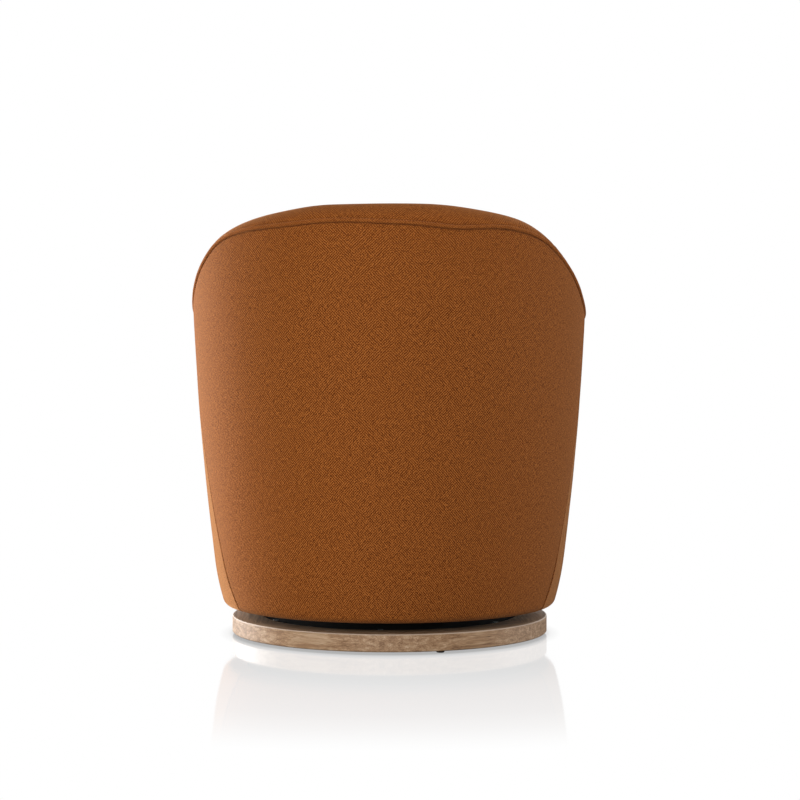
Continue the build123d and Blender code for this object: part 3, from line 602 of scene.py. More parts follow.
    def drawn_rim_at(self, turn: float) -> float:
        """Height of the welt's line at a station, as drawn."""
        height = self.rim_back_z
        for _ in range(6):
            height = self.welt_height(self.point(turn, (self.face_radius(height), 0.0)).y / MM)
        return height

    def rim_at(self, turn: float) -> float:
        """Height of the welt's line at a station, as sewn: a little high on one side and low on the other."""
        lift = self.welt_lift * bump(turn, *self.lift_place)
        dip = self.welt_dip * bump(turn, *self.dip_place)
        return self.drawn_rim_at(turn) + lift - dip

    def rim_slope(self, turn: float) -> float:
        """Fall of the welt's line along the wall at a station, as a ratio."""
        step = 0.25
        low, high = turn - step, turn + step
        return abs(self.rim_at(low) - self.rim_at(high)) / (self.run(high) - self.run(low))

    def upright_share(self, turn: float) -> float:
        """How much longer an upright line across the welt is than a square one, at a station."""
        return math.sqrt(1.0 + self.rim_slope(turn) ** 2)

    @cached_property
    def nose_foot(self) -> Flat:
        """Lower point of the axis that the arm front is turned about, in the last station."""
        return (self.roll_end_radius - self.nose_half, self.roll_end_z)

    @cached_property
    def nose_head(self) -> Flat:
        """Upper point of that axis."""
        height = self.rim_at(self.end_turn)
        return (self.face_radius(height) - self.nose_half, height)

    @cached_property
    def nose_lean(self) -> float:
        """Lean of that axis in degrees."""
        rise = (self.nose_head[0] - self.nose_foot[0], self.nose_head[1] - self.nose_foot[1])
        return math.degrees(math.atan2(rise[0], rise[1]))

    def on_nose_axis(self, height: float) -> Flat:
        """Point of the arm front's axis at a height."""
        lean = math.tan(math.radians(self.nose_lean))
        return (self.nose_foot[0] + (height - self.nose_foot[1]) * lean, height)

    @cached_property
    def nose_radius(self) -> float:
        """Radius of the arm front's dome."""
        height = self.nose_head[1] + self.welt_room
        across = self.face_radius(height) - self.on_nose_axis(height)[0]
        return across * math.cos(math.radians(self.nose_lean))

    @cached_property
    def nose_crest(self) -> Flat:
        """Top of the arm front."""
        height = self.nose_head[1] + self.welt_room
        centre = polar((self.face_radius(height), height), -self.nose_radius, -self.nose_lean)
        return polar(centre, self.nose_radius, 90.0 - self.nose_lean)


WALL = WallShape()


class RimSection:
    """Padded rim in one station, as arcs in body radius and height."""

    def __init__(self, turn: float) -> None:
        """Works out the arcs.

        Args:
            turn: Station.
        """
        wall = WALL
        self.welt_z = wall.drawn_rim_at(turn)
        to_shoulder = smooth_step(abs(turn), wall.back_crown_turn, wall.shoulder_crown_turn)
        to_arm = smooth_step(abs(turn), wall.arm_crown_turn, wall.end_turn)
        face = wall.face_radius(self.welt_z)
        rise = mix(wall.back_rise, wall.shoulder_rise, to_shoulder)
        rise += wall.full_shoulder * bump(turn, *wall.full_place)
        arm_crest = (
            face - (wall.face_radius(wall.nose_head[1]) - wall.nose_crest[0]),
            self.welt_z + wall.nose_crest[1] - wall.nose_head[1],
        )
        self.crest = mix_point((face - wall.back_reach, self.welt_z + rise), arm_crest, to_arm)
        lean = math.radians(wall.nose_lean * to_arm)
        up = (math.sin(lean), math.cos(lean))
        crest_x, crest_z = self.crest
        self.start_z = wall.rim_at(turn) + wall.welt_room * wall.upright_share(turn)
        start = (wall.face_radius(self.start_z), self.start_z)
        drop = (crest_x - start[0], crest_z - start[1])
        self.outer_radius = (drop[0] ** 2 + drop[1] ** 2) / (2.0 * (drop[0] * up[0] + drop[1] * up[1]))
        self.outer_centre = (crest_x - up[0] * self.outer_radius, crest_z - up[1] * self.outer_radius)
        self.start_angle = math.degrees(math.asin((self.start_z - self.outer_centre[1]) / self.outer_radius))
        self.crest_angle = 90.0 - math.degrees(lean)
        self.inner_radius = mix(wall.wall_thickness - wall.back_reach, wall.nose_radius, to_arm)
        self.inner_centre = (crest_x - up[0] * self.inner_radius, crest_z - up[1] * self.inner_radius)
        inner_foot = (2.0 * wall.on_nose_axis(wall.deck_z)[0] - wall.face_radius(wall.deck_z), wall.deck_z)
        self.foot = mix_point((wall.radius - wall.wall_foot, wall.deck_z), inner_foot, to_arm)
        reach = (self.foot[0] - self.inner_centre[0], self.foot[1] - self.inner_centre[1])
        away = math.hypot(*reach)
        bearing = math.atan2(reach[1], reach[0]) - math.acos(self.inner_radius / away)
        self.inner_angle = math.degrees(bearing) + 360.0
        self.bulge = mix(wall.lumbar_bulge, wall.arm_bulge, to_arm)

    def over(self, share: float) -> Flat:
        """Point of the cover: 0 is at the welt, 1 at the crest, 2 below the inner round and 3 at the foot."""
        if share <= 1.0:
            return polar(self.outer_centre, self.outer_radius, mix(self.start_angle, self.crest_angle, share))
        if share <= 2.0:
            angle = mix(self.crest_angle, self.inner_angle, share - 1.0)
            return polar(self.inner_centre, self.inner_radius, angle)
        top = polar(self.inner_centre, self.inner_radius, self.inner_angle)
        down = share - 2.0
        flat = mix_point(top, self.foot, down)
        out = 4.0 * self.bulge * down * (1.0 - down)
        normal = polar((0.0, 0.0), 1.0, self.inner_angle)
        return (flat[0] + normal[0] * out, flat[1] + normal[1] * out)


# ---------------------------------------------------------------- making pieces


def enlist(
    piece: bpy.types.Object, material: Material, replaced: Sequence[str]
) -> None:
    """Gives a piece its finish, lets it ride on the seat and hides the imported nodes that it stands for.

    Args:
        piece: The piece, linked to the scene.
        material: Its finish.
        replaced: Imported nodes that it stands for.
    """
    for polygon in piece.data.polygons:
        polygon.use_smooth = True
    dress(piece, material)
    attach(piece, "seat")
    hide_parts(*replaced)
    log.info("piece %s with %d faces", piece.name, len(piece.data.polygons))


def dress(piece: bpy.types.Object, material: Material) -> None:
    """Makes a material the only one of a piece."""
    piece.data.materials.clear()
    piece.data.materials.append(material)


def new_object(mesh: bmesh.types.BMesh, name: str) -> bpy.types.Object:
    """Object in the scene with a bmesh's shape, which is freed."""
    data = bpy.data.meshes.new(name)
    mesh.to_mesh(data)
    mesh.free()
    piece = bpy.data.objects.new(name, data)
    bpy.context.scene.collection.objects.link(piece)
    return piece


def finish_piece(
    mesh: bmesh.types.BMesh,
    name: str,
    material: Material,
    replaced: Sequence[str],
    sharp: float = 40.0,
) -> bpy.types.Object:
    """Turns a bmesh into a finished piece.

    Args:
        mesh: Shape in metres, in the chair's own frame. It is freed.
        name: Name of the piece.
        material: Its finish.
        replaced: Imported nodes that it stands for.
        sharp: Angle in degrees past which an edge stays crisp.

    Returns:
        The piece.
    """
    piece = new_object(mesh, name)
    enlist(piece, material, replaced)
    piece.data.set_sharp_from_angle(angle=math.radians(sharp))
    return piece


def wrap(
    columns: Sequence[float],
    rows: Sequence[float],
    place: Callable[[float, float], Vector],
    cloth: Callable[[float, float], Flat],
    fold: Callable[[float, float], float] = lambda column, row: 0.0,
) -> bmesh.types.BMesh:
    """Bends a flat grid into a form.

    Args:
        columns: Value of each column of points.
        rows: Value of each row of points.
        place: Point in metres for a column's and a row's value.
        cloth: Distances in metres along the cloth for the same two values.
        fold: How much painted shade the cloth gets there, in a seam or under a welt, from 0 to 1.

    Returns:
        The grid, with a UV map named weave and an attribute that holds the painted shade.
    """
    mesh = bmesh.new()
    layer = mesh.loops.layers.uv.new("weave")
    depth = mesh.verts.layers.float.new("fold")
    across, up = len(columns) - 1, len(rows) - 1
    bmesh.ops.create_grid(mesh, x_segments=across, y_segments=up, size=1.0)
    spots = {
        vert: (columns[round((vert.co.x + 1.0) / 2.0 * across)], rows[round((vert.co.y + 1.0) / 2.0 * up)])
        for vert in mesh.verts
    }
    for face in mesh.faces:
        for loop in face.loops:
            loop[layer].uv = cloth(*spots[loop.vert])
    for vert, spot in spots.items():
        vert.co = place(*spot)
        vert[depth] = fold(*spot)
    return mesh


def close_shell(mesh: bmesh.types.BMesh, gap: float = 1e-6) -> None:
    """Merges the seams of a wrapped grid, caps its ends and turns all faces outwards.

    Args:
        mesh: Shape to close.
        gap: Distance in metres under which points are merged.
    """
    bmesh.ops.remove_doubles(mesh, verts=mesh.verts[:], dist=gap)
    open_edges = [edge for edge in mesh.edges if edge.is_boundary]
    bmesh.ops.holes_fill(mesh, edges=open_edges, sides=0)
    bmesh.ops.recalc_face_normals(mesh, faces=mesh.faces[:])


def thicken(mesh: bmesh.types.BMesh, thickness: float, outwards: Callable[[Vector], Vector]) -> None:
    """Gives a sheet a back, away from its outer side.

    Args:
        mesh: Open sheet.
        thickness: Thickness in metres.
        outwards: Rough outward direction at a point.
    """
    mesh.normal_update()
    faces = mesh.faces[:]
    lean = sum(face.normal.dot(outwards(face.calc_center_median())) for face in faces)
    if lean < 0.0:
        bmesh.ops.reverse_faces(mesh, faces=faces)
        mesh.normal_update()
    bmesh.ops.solidify(mesh, geom=faces, thickness=thickness)


def from_axis(point: Vector) -> Vector:
    """Direction away from the body's upright centre line."""
    return Vector((point.x, point.y - WALL.centre_y * MM, 0.0)).normalized()


def seam_depth(distance: float, reach: float = 1.3) -> float:
    """How deep in a seam cloth lies at a distance in millimetres, from 1 at the seam to 0."""
    return math.exp(-max(distance, 0.0) / reach)


def turned_in(distance: float, depth: float = 2.9, reach: float = 1.1) -> float:
    """Depth in millimetres to which cloth dips where it is drawn into a seam."""
    return depth * seam_depth(distance, reach)


# Distances from a seam, in millimetres, at which there is a row or a column of points.
SEAM_STEPS = (0.5, 1.2, 2.2, 3.6, 5.6, 9.0)


@dataclass(frozen=True)
class OutsidePanels:
    """Outside back and outside arms: cloth drawn tight over the wall and rolled under the hem."""

    column_mm: float = 7.0
    row_mm: float = 7.0
    thickness: float = 1.6
    swell: float = 0.55
    swell_size: float = 0.09
    pucker: float = 0.45
    pucker_size: float = 0.013
    under_welt: float = 1.4
    arm_overlap: float = 1.2
    # Strength of the painted shade under the welt, and how far from the top edge it starts.
    welt_shade: float = 0.7
    shade_start: float = 0.72

    def seam_turn(self, height: float, side: Side) -> float:
        """Station of a side seam at a height, on whichever side counted from 0."""
        hem_y = WALL.left_seam_hem_y if side is Side.LEFT else WALL.right_seam_hem_y
        target = hem_y - (height - WALL.hem_z) * math.tan(math.radians(WALL.seam_lean))
        reach = WALL.face_radius(max(height, WALL.roll_end_z))
        low, high = 0.0, WALL.end_turn
        for _ in range(30):
            middle = (low + high) / 2.0
            if WALL.point(middle, (reach, 0.0)).y / MM > target:
                low = middle
            else:
                high = middle
        return low

    def top(self, turn: float) -> float:
        """Height of the panel's top edge, tucked under the welt."""
        return WALL.rim_at(turn) - (WALL.welt_room - self.under_welt) * WALL.upright_share(turn)

    def place(self, turn: float, level: float, seam_distance: float) -> Vector:
        """Point of the panel.

        Args:
            turn: Station.
            level: Below 0 along the flange and the hem's roll in millimetres, from 0 to 1 up the face.
            seam_distance: Distance along the wall to the nearest seam in millimetres.

        Returns:
            The point in metres.
        """
        dip = turned_in(seam_distance)
        if level < -WALL.roll_length:
            return WALL.point(turn, (WALL.hem_radius + level + WALL.roll_length, WALL.hem_z + dip))
        if level < 0.0:
            angle = -WALL.foot_lean + math.degrees(level / WALL.hem_roll)
            return WALL.point(turn, WALL.on_roll(angle, -dip))
        top = self.top(turn)
        height = mix(WALL.roll_end_z, top, level)
        dip += turned_in(top - height, 2.6, 1.8)
        dip -= self.swell * unevenness(WALL.point(turn, (WALL.face_radius(height), height)), self.swell_size)
        along = Vector((WALL.run(turn) * MM, 3.0, 0.0))
        dip -= self.pucker * seam_depth(top - height, 16.0) * unevenness(along, self.pucker_size)
        return WALL.point(turn, (WALL.face_radius(height) - dip, height))

    def levels(self) -> list[float]:
        """Rows of a panel, from the flange's inner edge to the welt."""
        face = WALL.rim_back_z - WALL.roll_end_z
        rows = steps(-WALL.roll_length - WALL.hem_flange, -WALL.roll_length, 9.0)[:-1]
        rows += steps(-WALL.roll_length, 0.0, 2.2)[:-1]
        rows += [height / face for height in steps(0.0, face - SEAM_STEPS[-1], self.row_mm)]
        return rows + [1.0 - distance / face for distance in reversed(SEAM_STEPS[:-1])] + [1.0]

    def cloth(self, turn: float, level: float) -> Flat:
        """Distances along the cloth in metres."""
        if level < 0.0:
            return (WALL.run(turn) * MM, (WALL.roll_end_z + level) * MM)
        return (WALL.run(turn) * MM, self.height(turn, level) * MM)

    def fold(self, turn: float, level: float, seam_distance: float) -> float:
        """How much painted shade a point of the panel gets, in a seam and under the welt, for the same values
        as place.
        """
        below_welt = self.top(turn) - self.height(turn, level) - self.shade_start
        return max(seam_depth(seam_distance), self.welt_shade * seam_depth(below_welt))

    def height(self, turn: float, level: float) -> float:
        """Height of a row at a station."""
        return mix(WALL.roll_end_z, self.top(turn), max(level, 0.0))

    def edge_run(self, side: Side, level: float) -> float:
        """Distance along the wall from the middle of the back to a side seam at a row."""
        turn = 70.0
        for _ in range(4):
            turn = self.seam_turn(self.height(turn, level), side)
        return WALL.run(turn)

    def build(self, back_cloth: Material, arm_cloth: Material) -> None:
        """Makes the three panels.

        Args:
            back_cloth: Cloth of the outside back.
            arm_cloth: The same cloth on the outside arms, with its nap the other way.
        """
        edges = {side: {level: self.edge_run(side, level) for level in self.levels()} for side in Side}
        half = WALL.run(75.0)
        shares = [distance / half for distance in ends_dense(-half, half, self.column_mm, SEAM_STEPS)]

        def reach(share: float, level: float) -> float:
            return edges[Side.LEFT if share > 0.0 else Side.RIGHT][level]

        self.build_panel(
            "back",
            "back_cover",
            shares,
            lambda share, level: share * reach(share, level),
            lambda share, level: (1.0 - abs(share)) * reach(share, level),
            lambda share, level: level,
            back_cloth,
        )
        for side in Side:
            self.build_arm(side, edges[side], arm_cloth)

    def build_arm(self, side: Side, edges: dict[float, float], material: Material) -> None:
        """Makes one outside arm, from the side seam to the welt at its front.

        Args:
            side: Side of the chair.
            edges: Distance along the wall to the side seam at each row.
            material: Upholstery cloth.
        """
        last = WALL.run(WALL.cover_turn) + self.arm_overlap
        width = last - edges[1.0]

        def run(share: float, level: float) -> float:
            return mix(edges[level], last, share)

        self.build_panel(
            f"arm_{side.word}",
            f"arm_cover_{side.word}",
            [distance / width for distance in ends_dense(0.0, width, self.column_mm, SEAM_STEPS)],
            run,
            lambda share, level: min(run(share, level) - edges[level], (last - run(share, level)) * 1.2),
            lambda share, level: self.rounded(run(share, level), last, level),
            material,
            side.value,
        )

    def build_panel(
        self,
        word: str,
        cover: str,
        shares: Sequence[float],
        run: Callable[[float, float], float],
        distance: Callable[[float, float], float],
        rounded: Callable[[float, float], float],
        material: Material,
        mirror: int = 1,
    ) -> None:
        """Makes one panel.

        Args:
            word: Ending of its name.
            cover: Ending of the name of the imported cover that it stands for.
            shares: Share of the way across for each column of points.
            run: Distance along the wall for a share and a level.
            distance: Distance to the nearest seam for them.
            rounded: Level for them once corners are rounded off.
            material: Its cloth.
            mirror: -1 where the panel is made on the left and then mirrored.
        """

        def place(share: float, level: float) -> Vector:
            turn = WALL.turn_at(run(share, level))
            spot = self.place(turn, rounded(share, level), distance(share, level))
            return Vector((spot.x * mirror, spot.y, spot.z))

        # The last function gives the painted shade in the side seams and under the welt.
        mesh = wrap(
            shares,
            self.levels(),
            place,
            lambda share, level: self.cloth(mirror * WALL.turn_at(run(share, level)), level),
            lambda share, level: self.fold(WALL.turn_at(run(share, level)), level, distance(share, level)),
        )
        thicken(mesh, self.thickness * MM, from_axis)
        finish_piece(mesh, f"outside_{word}", material, [f"outside_{cover}"], sharp=55.0)

    def rounded(self, along: float, last: float, level: float) -> float:
        """Level of a point once the panel's top front corner is rounded off under the welt.

        Args:
            along: Distance along the wall.
            last: That distance at the panel's front edge.
            level: Level before rounding.

        Returns:
            Level after rounding.
        """
        corner = WALL.welt_corner - WALL.welt_room + self.under_welt
        into = along - (last - corner)
        if into <= 0.0 or level < 0.0:
            return level
        drop = corner - math.sqrt(max(corner**2 - into**2, 0.0))
        face = self.top(WALL.turn_at(along)) - WALL.roll_end_z
        return level - smooth_step(level, 0.9, 1.0) * drop / face


@dataclass(frozen=True)
class PaddedRim:
    """Inside back and inside arms: one padded form that rolls over the rim from the welt down to the seat."""

    column_mm: float = 8.0
    swell: float = 0.9
    swell_size: float = 0.08
    pucker: float = 0.5
    pucker_size: float = 0.011
    # Strength of the painted shade next to the welt.
    welt_shade: float = 0.3
    # Depths behind the outer face: of the padding's back, of the lip under the welt and of the tucked edge.
    back_depth: float = 34.0
    lip_depth: float = 5.2
    tuck_depth: float = 3.2
    heel_drop: float = 8.0
    tuck_drop: float = 1.6

    def rows(self) -> list[float]:
        """Rows of the section: the tucked edge, the cover from 0 to 3, then the padding's back up to 4."""
        over = [index / 16.0 for index in range(16)]
        inner = [1.0 + index / 12.0 for index in range(12)]
        down = [2.0 + index / 40.0 for index in range(41)]
        return [-0.06, *over, *inner, *down, 3.25, 3.5, 3.75, 4.0]

    def section(self, section: RimSection, row: float) -> Flat:
        """Point of the section at a row, in body radius and height."""
        if 0.0 <= row <= 3.0:
            return section.over(row)
        tucked = (WALL.face_radius(section.start_z) - self.tuck_depth, section.start_z - self.tuck_drop)
        if row < 0.0:
            return tucked
        heel_z = section.welt_z - self.heel_drop
        back_foot = (WALL.face_radius(WALL.deck_z) - self.back_depth, WALL.deck_z)
        heel_face = WALL.face_radius(heel_z)
        heel, lip = ((heel_face - depth, heel_z) for depth in (self.back_depth, self.lip_depth))
        return (section.foot, back_foot, heel, lip, tucked)[round((row - 3.0) * 4.0)]

    def place(self, turn: float, row: float, seam_distance: float, section: RimSection) -> Vector:
        """Point of the padding.

        Args:
            turn: Station.
            row: Row of the section.
            seam_distance: Distance to the nearest end of the padding in millimetres.
            section: Section of the station.

        Returns:
            The point in metres.
        """
        flat = self.section(section, row)
        spot = WALL.point(turn, flat)
        if not 0.0 <= row <= 3.0:
            return spot
        step = 0.02
        before, after = section.over(max(row - step, 0.0)), section.over(min(row + step, 3.0))
        length = math.dist(before, after)
        normal = ((after[1] - before[1]) / length, (before[0] - after[0]) / length)
        from_welt = self.from_welt(row, section)
        dip = turned_in(seam_distance) + turned_in(from_welt, 2.2, 2.0)
        dip -= self.swell * unevenness(spot + Vector((0.0, 0.0, 5.0)), self.swell_size)
        along = Vector((WALL.run(turn) * MM, 7.0, 0.0))
        dip -= self.pucker * seam_depth(from_welt, 14.0) * unevenness(along, self.pucker_size)
        return WALL.point(turn, (flat[0] - normal[0] * dip, flat[1] - normal[1] * dip))

    def from_welt(self, row: float, section: RimSection) -> float:
        """Distance over the outer round from the welt to a row, in millimetres."""
        return row * math.radians(section.crest_angle - section.start_angle) * section.outer_radius

    def fold(self, row: float, seam_distance: float, section: RimSection) -> float:
        """How much painted shade a point of the cover gets, at the padding's ends and next to the welt, for
        the same values as place.
        """
        if row > 3.0:
            return 0.0
        return max(seam_depth(seam_distance), self.welt_shade * seam_depth(self.from_welt(row, section), 1.5))

    def cloth_lengths(self, section: RimSection) -> dict[float, float]:
        """Distance over the cover from the welt to each row, in millimetres."""
        spots = {row: self.section(section, row) for row in self.rows()}
        total, last = section.welt_z, next(iter(spots.values()))
        lengths = {}
        for row, spot in spots.items():
            total += math.dist(spot, last)
            lengths[row], last = total, spot
        return lengths

    def build_pad(
        self, name: str, first: float, last: float, replaced: Sequence[str], material: Material
    ) -> None:
        """Makes one length of the rim.

        Args:
            name: Name of the piece.
            first: First station.
            last: Last station.
            replaced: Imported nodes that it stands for.
            material: Upholstery cloth.
        """
        start, end = WALL.run(first), WALL.run(last)
        columns = ends_dense(start + 0.05, end - 0.05, self.column_mm, SEAM_STEPS)
        sections = {column: RimSection(WALL.turn_at(column)) for column in columns}
        lengths = {column: self.cloth_lengths(section) for column, section in sections.items()}
        ends = {column: min(column - start, end - column) for column in columns}
        # The last function gives the painted shade at the padding's ends and next to the welt.
        mesh = wrap(
            columns,
            self.rows(),
            lambda column, row: self.place(WALL.turn_at(column), row, ends[column], sections[column]),
            lambda column, row: (column * MM, lengths[column][row] * MM),
            lambda column, row: self.fold(row, ends[column], sections[column]),
        )
        close_shell(mesh)
        finish_piece(mesh, name, material, replaced, sharp=50.0)

    def build(self, material: Material) -> None:
        """Makes the inside back and both inside arms."""
        seam = WALL.pad_seam_turn
        self.build_pad("inside_back", -seam, seam, ("inside_back_cover", "inside_back_foam"), material)
        for side in Side:
            first, last = sorted((side.value * seam, side.value * WALL.end_turn))
            replaced = (f"inside_arm_cover_{side.word}", f"inside_arm_foam_{side.word}")
            self.build_pad(f"inside_arm_{side.word}", first, last, replaced, material)


@dataclass(frozen=True)
class ArmFronts:
    """Half-round padded arm fronts, each turned about a leaning axis."""

    spin_steps: int = 24
    profile_mm: float = 8.0
    swell: float = 0.7
    swell_size: float = 0.06
    # Distance in front of the axis over which the swells come in.
    swell_start: float = 6.0

    def profile(self) -> list[Flat]:
        """Outline from the foot of the axis round the hem, up the face and over the dome."""
        last = RimSection(WALL.end_turn)
        heights = steps(WALL.roll_end_z, last.start_z, self.profile_mm)[1:]
        return [
            (WALL.on_nose_axis(WALL.hem_z)[0], WALL.hem_z),
            *(WALL.on_roll(angle) for angle in steps(-90.0, -WALL.foot_lean, 9.0)),
            *((WALL.face_radius(height), height) for height in heights),
            *(last.over(share) for share in steps(0.0, 1.0, 0.08)[1:]),
        ]

    def build(self, material: Material) -> None:
        """Makes both arm fronts."""
        foot, head = (WALL.point(WALL.end_turn, flat) for flat in (WALL.nose_foot, WALL.nose_head))
        axis = (head - foot).normalized()
        for side in Side:
            mesh = bmesh.new()
            verts = [mesh.verts.new(WALL.point(WALL.end_turn, flat)) for flat in self.profile()]
            edges = [mesh.edges.new(pair) for pair in zip(verts, verts[1:])]
            outline = verts + edges
            bmesh.ops.spin(mesh, geom=outline, cent=foot, axis=-axis, angle=math.pi, steps=self.spin_steps)
            close_shell(mesh, 1e-5)
            self.lay_cloth(mesh, foot, axis)
            if side is Side.RIGHT:
                bmesh.ops.scale(mesh, vec=(-1.0, 1.0, 1.0), verts=mesh.verts[:])
                bmesh.ops.reverse_faces(mesh, faces=mesh.faces[:])
            replaced = (f"arm_front_cover_{side.word}", f"arm_front_foam_{side.word}")
            finish_piece(mesh, f"arm_front_{side.word}", material, replaced, sharp=50.0)

    def lay_cloth(self, mesh: bmesh.types.BMesh, foot: Vector, axis: Vector) -> None:
        """Lays the weave round the axis and adds gentle swells.

        Args:
            mesh: Arm front on the left.
            foot: Point of its axis.
            axis: Direction of its axis.
        """
        layer = mesh.loops.layers.uv.new("weave")
        angle = math.radians(WALL.end_turn)
        forward = Vector((math.cos(angle), -math.sin(angle), 0.0))
        sideways = axis.cross(forward)
        for face in mesh.faces:
            for loop in face.loops:
                spot = loop.vert.co - foot
                turn = math.atan2(spot.dot(sideways), (spot - axis * spot.dot(axis)).dot(forward))
                loop[layer].uv = (turn * WALL.nose_half * MM, spot.dot(axis) + foot.z)
        mesh.normal_update()
        for vert in mesh.verts:
            ahead = smooth_step((vert.co - foot).dot(forward) / MM, 0.0, self.swell_start)
            out = self.swell * unevenness(vert.co + Vector((4.0, 0.0, 0.0)), self.swell_size)
            vert.co += vert.normal * out * MM * ahead


@dataclass(frozen=True)
class RimWelt:
    """Covered cord sewn between the outside panels and the padded rim, then down both arm fronts."""

    around: int = 14
    pitch_mm: float = 5.0
    wobble: float = 0.18
    wobble_size: float = 0.025
    swell: float = 0.12
    swell_size: float = 0.012
    corner_step: float = 0.16
    hem_step: float = 10.0
    # A point this far out gives the outward direction.
    far: float = 100.0

    def spot(self, turn: float, flat: Callable[[float], Flat]) -> tuple[Vector, Vector]:
        """Middle of the cord and the outward direction there, from the section's point at an outset."""
        middle, outer = (WALL.point(turn, flat(outset)) for outset in (WALL.welt_outset, self.far))
        return middle, (outer - middle).normalized()

    def on_face(self, turn: float, height: float) -> tuple[Vector, Vector]:
        """Middle of the cord and the outward direction at a height of the face."""
        reach = WALL.face_radius(height) if height >= WALL.roll_end_z else WALL.roll_end_radius
        return self.spot(turn, lambda outset: (reach + outset, height))

    def path(self, side: Side) -> list[tuple[Vector, Vector]]:
        """Middle and outward direction at each step along one half, from the middle of the back."""
        sign, radius = side.value, WALL.welt_corner
        front = sign * WALL.welt_turn
        fall = math.atan(WALL.rim_slope(front))
        corner_run = WALL.run(WALL.welt_turn) - radius * (1.0 - math.sin(fall))
        turns = [WALL.turn_at(sign * run) for run in steps(0.0, corner_run, self.pitch_mm)]
        start_z = WALL.rim_at(turns[-1])
        spots = [self.on_face(turn, WALL.rim_at(turn)) for turn in turns[:-1]]
        for angle in steps(fall, math.pi / 2.0, self.corner_step):
            ahead = radius * (math.sin(angle) - math.sin(fall))
            down = radius * (math.cos(fall) - math.cos(angle))
            spots.append(self.on_face(WALL.turn_at(sign * (corner_run + ahead)), start_z - down))
        heights = steps(start_z - radius * math.cos(fall), WALL.roll_end_z, self.pitch_mm)[1:]
        spots += [self.on_face(front, height) for height in heights]
        for angle in steps(-WALL.foot_lean, -90.0, self.hem_step)[1:]:
            spots.append(self.spot(front, lambda outset, at=angle: WALL.on_roll(at, outset)))
        return spots

    def build(self, material: Material) -> None:
        """Makes the cord in one length."""
        spots = [*reversed(self.path(Side.RIGHT)[1:]), *self.path(Side.LEFT)]
        middles = [middle for middle, _ in spots]
        lengths = ((after - before).length for before, after in zip(middles, middles[1:]))
        runs = list(accumulate(lengths, initial=0.0))
        pairs = zip([middles[0], *middles], [*middles[1:], middles[-1]])
        directions = [(after - before).normalized() for before, after in pairs]

        def place(column: float, row: float) -> Vector:
            index = int(column)
            middle, outward = spots[index]
            along = directions[index]
            outward = (outward - along * outward.dot(along)).normalized()
            third = along.cross(outward)
            wobble = self.wobble * unevenness(Vector((runs[index], 1.0, 9.0)), self.wobble_size)
            swell = self.swell * unevenness(Vector((runs[index], 4.0, 2.0)), self.swell_size)
            ring = outward * math.cos(row) + third * math.sin(row)
            radius = (WALL.welt_radius + swell) * MM
            return middle + third * wobble * MM + ring * radius

        mesh = wrap(
            range(len(spots)),
            steps(0.0, 2.0 * math.pi, 2.0 * math.pi / self.around),
            place,
            lambda column, row: (runs[int(column)], row * WALL.welt_radius * MM),
        )
        close_shell(mesh)
        finish_piece(mesh, "rim_welt_cord", material, ["rim_welt"], 60.0)


